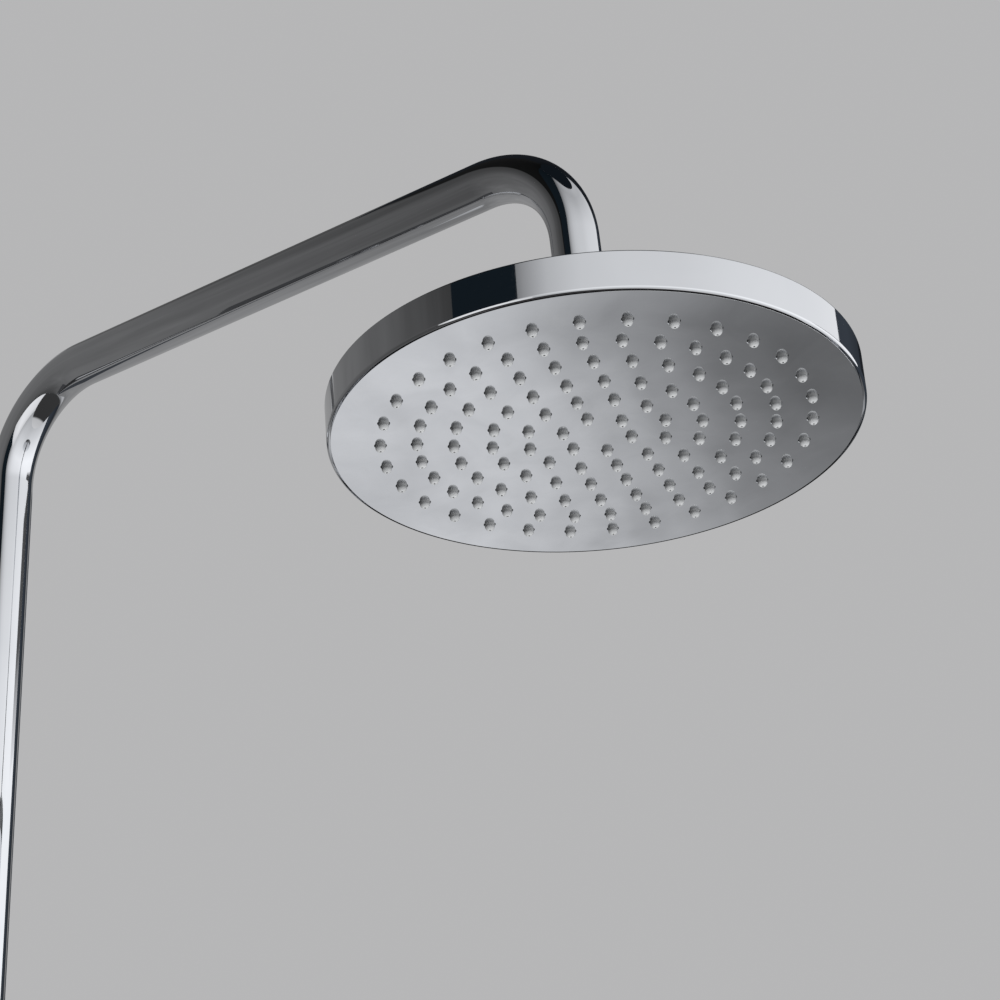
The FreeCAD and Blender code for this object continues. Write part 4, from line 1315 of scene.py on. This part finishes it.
@dataclass(frozen=True)
class FlatSheet(Sheet):
    """A sheet that stands on the wall or across it."""
    along: str = "Y"            # the axis its length runs on
    place: float = -0.004       # where it stands on the other one
    lean: float = 0.0
    clouds: float = 0.0

    def build(self) -> Object:
        """Stretch a plane to the sheet's ends.

        Returns:
            The sheet.
        """
        start, end = self.across[0][0], self.across[-1][0]
        low, high = self.up[0][0], self.up[-1][0]
        rise = max(self.lean * start, self.lean * end)
        pick()
        bpy.ops.mesh.primitive_plane_add(size=1)
        piece = named(self.name)
        wide, tall = Vector((end - start, 0, 0)), Vector((0, 0, high + rise - low))
        middle = Vector(((start + end) / 2, self.place, (low + high + rise) / 2))
        if self.along == "Y":
            wide, middle = wide.yxz, middle.yxz
        out = wide.cross(tall).normalized()
        piece.matrix_world = Matrix.Translation(middle) @ Matrix((wide, tall, out)).transposed().to_4x4()
        apply_transform()
        piece.data.materials.append(self.material(self.along, self.lean, self.clouds))
        return piece


@dataclass(frozen=True)
class LevelSheet(Sheet):
    """A round sheet that lies level."""
    height: float = 0.0
    radius: float = STAND_R

    def build(self) -> Object:
        """Lay a disc at its height.

        Returns:
            The sheet, with its object at its middle.
        """
        pick()
        bpy.ops.mesh.primitive_circle_add(vertices=Facets.SMALL, radius=self.radius, fill_type="NGON",
                                          location=STAND + UP * self.height)
        piece = named(self.name)
        piece.data.materials.append(self.material("X"))
        return piece


def seen_rays(graph: Graph) -> NodeSocket:
    """Tell the rays of the camera, of mirrors and of glass from the rest.

    Args:
        graph: The nodes of the material or the world.

    Returns:
        One for these rays, zero for the rest.
    """
    path = graph.add("ShaderNodeLightPath")
    seen = path.outputs["Is Camera Ray"]
    for ray in ("Is Glossy Ray", "Is Transmission Ray"):
        seen = graph.sum(seen, path.outputs[ray], "MAXIMUM")
    return seen


@dataclass(frozen=True)
class Lamp:
    """A soft square lamp that mirrors don't show."""
    name: str
    place: Point3
    size: float                 # length of its sides in metres
    power: float                # watts

    def build(self, aim: Vector) -> None:
        """Hang the lamp.

        Args:
            aim: The point it lights.
        """
        place = Vector(self.place)
        pick()
        bpy.ops.object.light_add(type="AREA", location=place)
        lamp = bpy.context.object
        lamp.name = self.name
        lamp.rotation_euler = (aim - place).to_track_quat("-Z", "Y").to_euler()
        lamp.data.shape = "SQUARE"
        lamp.data.size = self.size
        lamp.data.energy = self.power
        lamp.visible_glossy = False


@dataclass
class Studio:
    """Plain pale surroundings, soft lamps, the sheets that chrome mirrors, and the camera."""
    backdrop: Colour = (0.47, 0.47, 0.475)
    ambient: float = 0.06       # the plain light that reaches the object from all around
    floor_colour: Colour = (0.62, 0.62, 0.61)
    floor_width: float = 120.0
    lamps: tuple[Lamp, ...] = (
        Lamp("front_lamp", (2.1, 0.5, 0.9), size=1.6, power=8),
        Lamp("low_lamp", (0.9, 0.1, -1.35), size=0.8, power=62),
        Lamp("top_lamp", (0.5, 0.4, 2.3), size=2.0, power=20),
    )
    sheets: tuple[LevelSheet | RoundSheet | FlatSheet, ...] = (
        LevelSheet("ceiling_sheet", (0.008, 0.011, 0.015), height=5.5),
        LevelSheet("low_sheet", (1.0, 1.0, 1.01),
                   across=((-2.0, 0.06), (1.05, 0.05), (1.20, 0.75), (2.0, 0.9)), height=FLOOR_LEVEL + 0.01),
        RoundSheet("front_sheet", (1.60, 1.62, 1.66),
                   across=((-82.7, 0.24), (-80, 0.33), (-70, 0.57), (-56, 0.73), (-40, 0.79), (-15, 0.82),
                           (10, 0.91), (35, 0.93), (75, 0.90)),
                   up=((-3.0, 0.50), (-1.6, 0.55), (-0.7, 0.68), (0.5, 1.0), (1.1, 0.92), (1.4, 0.78),
                       (1.8, 0.70), (3.2, 0.50), (4.0, 0.43), (5.5, 0.46))),
        RoundSheet("notch_sheet", (1.40, 1.41, 1.45), across=((50, 1.0), (75, 0.7)),
                   up=((1.0, 0.95), (1.16, 0.10), (1.37, 0.08)), radius=IN_FRONT),
        RoundSheet("right_sheet", (0.050, 0.060, 0.076),
                   across=((75, 1.0), (85, 1.0), (100, 0.65), (126, 0.65)),
                   up=((-3.0, 1.0), (1.6, 1.0), (2.2, 0.35), (5.5, 0.25))),
        RoundSheet("low_left_sheet", (1.25, 1.25, 1.27),
                   across=((-113, 0.5), (-106, 1.0), (-84, 1.0), (-72, 0.8)),
                   up=((-2.2, 0.8), (0.0, 1.0), (0.45, 0.8)), radius=IN_FRONT),
        RoundSheet("high_left_sheet", (0.010, 0.016, 0.022), across=((-150, 1.0), (-82.7, 1.0)),
                   up=((0.45, 1.0), (5.5, 0.6))),
        FlatSheet("left_wall_sheet", (0.215, 0.215, 0.217),
                  across=((-1.25, 0.52), (-0.58, 0.58), (-0.33, 0.72), (-0.17, 0.88), (-0.05, 0.95),
                          (0.012, 1.0)),
                  up=((-2.2, 0.6), (0.0, 0.75), (0.25, 1.0), (0.5, 1.0), (0.6, 0.9), (0.7, 0.68),
                      (0.8, 0.58), (0.925, 0.52), (0.94, 0.07), (5.5, 0.04)), lean=-0.12, clouds=0.12),
        FlatSheet("right_wall_sheet", (0.35, 0.35, 0.353),
                  across=((0.012, 0.75), (0.04, 0.92), (0.2, 0.98), (0.45, 0.93), (0.6, 0.80), (0.8, 0.55),
                          (1.05, 0.32), (1.3, 0.17), (2.4, 0.12)),
                  up=((-2.2, 0.75), (0.0, 0.82), (0.2, 1.0), (0.46, 1.0), (0.53, 0.68), (0.58, 0.44),
                      (0.64, 0.34), (0.75, 0.28), (1.2, 0.26)), lean=0.35, clouds=0.12),
        FlatSheet("high_wall_sheet", (0.014, 0.016, 0.020), across=((0.012, 1.0), (2.4, 1.0)),
                  up=((0.90, 1.0), (5.5, 0.5)), place=-0.002),
        FlatSheet("low_wall_sheet", (0.612, 0.62, 0.638),
                  across=((0.34, 0.95), (0.38, 1.0), (0.5, 0.98), (0.6, 0.94), (0.65, 0.86), (0.70, 0.78),
                          (0.76, 0.73), (0.82, 0.65), (0.88, 0.56), (0.96, 0.42), (1.05, 0.36), (1.2, 0.30),
                          (1.5, 0.15), (2.4, 0.06)),
                  up=((-2.2, 0.5), (-0.65, 0.60), (-0.45, 0.74), (-0.3, 0.96), (-0.05, 1.0), (0.02, 0.62)),
                  place=-0.003, clouds=0.16),
        FlatSheet("shade_sheet", (0.065, 0.066, 0.070), across=((-0.095, 1.0), (-0.004, 1.0)),
                  up=((-0.6, 1.0), (0.15, 1.0)), place=-0.001),
        FlatSheet("glint_sheet", (0.66, 0.66, 0.67), across=((0.014, 0.6), (0.03, 1.0), (0.06, 0.6)),
                  up=((0.44, 0.6), (0.50, 1.0), (0.56, 0.4)), place=-0.001),
        FlatSheet("side_sheet", (0.060, 0.066, 0.076), across=((-0.002, 1.0), (0.056, 1.0)),
                  up=((-0.55, 1.0), (0.40, 1.0)), along="X", place=0.05),
    )
    camera_place: Point3 = (1.24233, -1.00336, -0.33584)
    camera_turn: Point3 = (114.804, 0.865, 40.032)      # degrees about X, Y and Z
    lens: float = 109.73        # millimetres, as the sensor
    sensor: float = 36.0
    near: float = 0.05

    def world(self) -> None:
        """Pale grey for camera, mirrors and glass, and a plain level of light for the rest."""
        world = bpy.data.worlds.new("studio")
        bpy.context.scene.world = world
        world.use_nodes = True
        graph = Graph(world.node_tree)
        colour = graph.blend(seen_rays(graph), (self.ambient,) * 3, self.backdrop)
        light = graph.add("ShaderNodeBackground", {"Color": colour, "Strength": 1.0})
        graph.add("ShaderNodeOutputWorld", {"Surface": light.outputs["Background"]})

    def stage(self, piece: Object, show: Show) -> None:
        """Hide a surface from the camera, diffuse light, shadows and glass where only mirrors may see it;
        otherwise leave it as it is.

        Args:
            piece: The surface.
            show: Which rays see it.
        """
        if show is Show.MIRRORED:
            piece.visible_camera = False
            piece.visible_diffuse = False
            piece.visible_shadow = False
            piece.visible_transmission = False

    def floor(self) -> None:
        """Plain pale floor that runs out of sight, keeps the object's shadow and is open from underneath."""
        pick()
        bpy.ops.mesh.primitive_plane_add(size=self.floor_width, location=UP * FLOOR_LEVEL)
        floor = named("floor")
        material = bpy.data.materials.new("floor")
        material.use_nodes = True
        graph = Graph(material.node_tree)
        rest = tuple(back - own * self.ambient for back, own in zip(self.backdrop, self.floor_colour))
        colour = graph.blend(seen_rays(graph), (0, 0, 0), rest)
        glow = graph.add("ShaderNodeEmission", {"Color": colour, "Strength": 1.0})
        shader = graph.add("ShaderNodeBsdfDiffuse", {"Color": (*self.floor_colour, 1)})
        both = graph.add("ShaderNodeAddShader", {0: glow.outputs["Emission"], 1: shader.outputs["BSDF"]})
        under = graph.add("ShaderNodeNewGeometry").outputs["Backfacing"]
        clear = graph.add("ShaderNodeBsdfTransparent").outputs["BSDF"]
        faced = graph.add("ShaderNodeMixShader", {"Fac": under, 1: both.outputs["Shader"], 2: clear})
        graph.add("ShaderNodeOutputMaterial", {"Surface": faced.outputs["Shader"]})
        material.cycles.emission_sampling = "NONE"
        floor.data.materials.append(material)
        self.stage(floor, Show.ALL)

    def camera(self) -> None:
        """The photograph's camera."""
        pick()
        bpy.ops.object.camera_add(location=self.camera_place, rotation=[radians(a) for a in self.camera_turn])
        camera = bpy.context.object
        camera.name = "camera"
        camera.data.sensor_width = self.sensor
        camera.data.lens = self.lens
        camera.data.clip_start = self.near
        bpy.context.scene.camera = camera

    def build(self) -> None:
        """Set up the whole studio."""
        bpy.context.scene.view_settings.view_transform = "Standard"
        self.world()
        self.floor()
        for sheet in self.sheets:
            self.stage(sheet.build(), Show.MIRRORED)
        for lamp in self.lamps:
            lamp.build(LAYOUT.ball())
        self.camera()


def main() -> None:
    """Build the pieces, the studio and the camera."""
    logging.basicConfig(level=logging.INFO, format="%(message)s")
    pick()
    riser, swivel, bracket = Riser(), Swivel(), WallBracket()
    gooseneck, joint, head = Gooseneck(), BallJoint(), RainHead()
    for make in (riser.tube, riser.spigot, riser.union, swivel.socket, swivel.collar,
                 bracket.plate, bracket.cover, bracket.post, bracket.clamp, bracket.bush,
                 gooseneck.tube, gooseneck.nipple, joint.ball_nut, joint.cup, joint.collar, joint.gasket,
                 head.shell, head.face, head.mat):
        make()
    dress_kept_nodes()
    Studio().build()


if __name__ == "__main__":
    main()
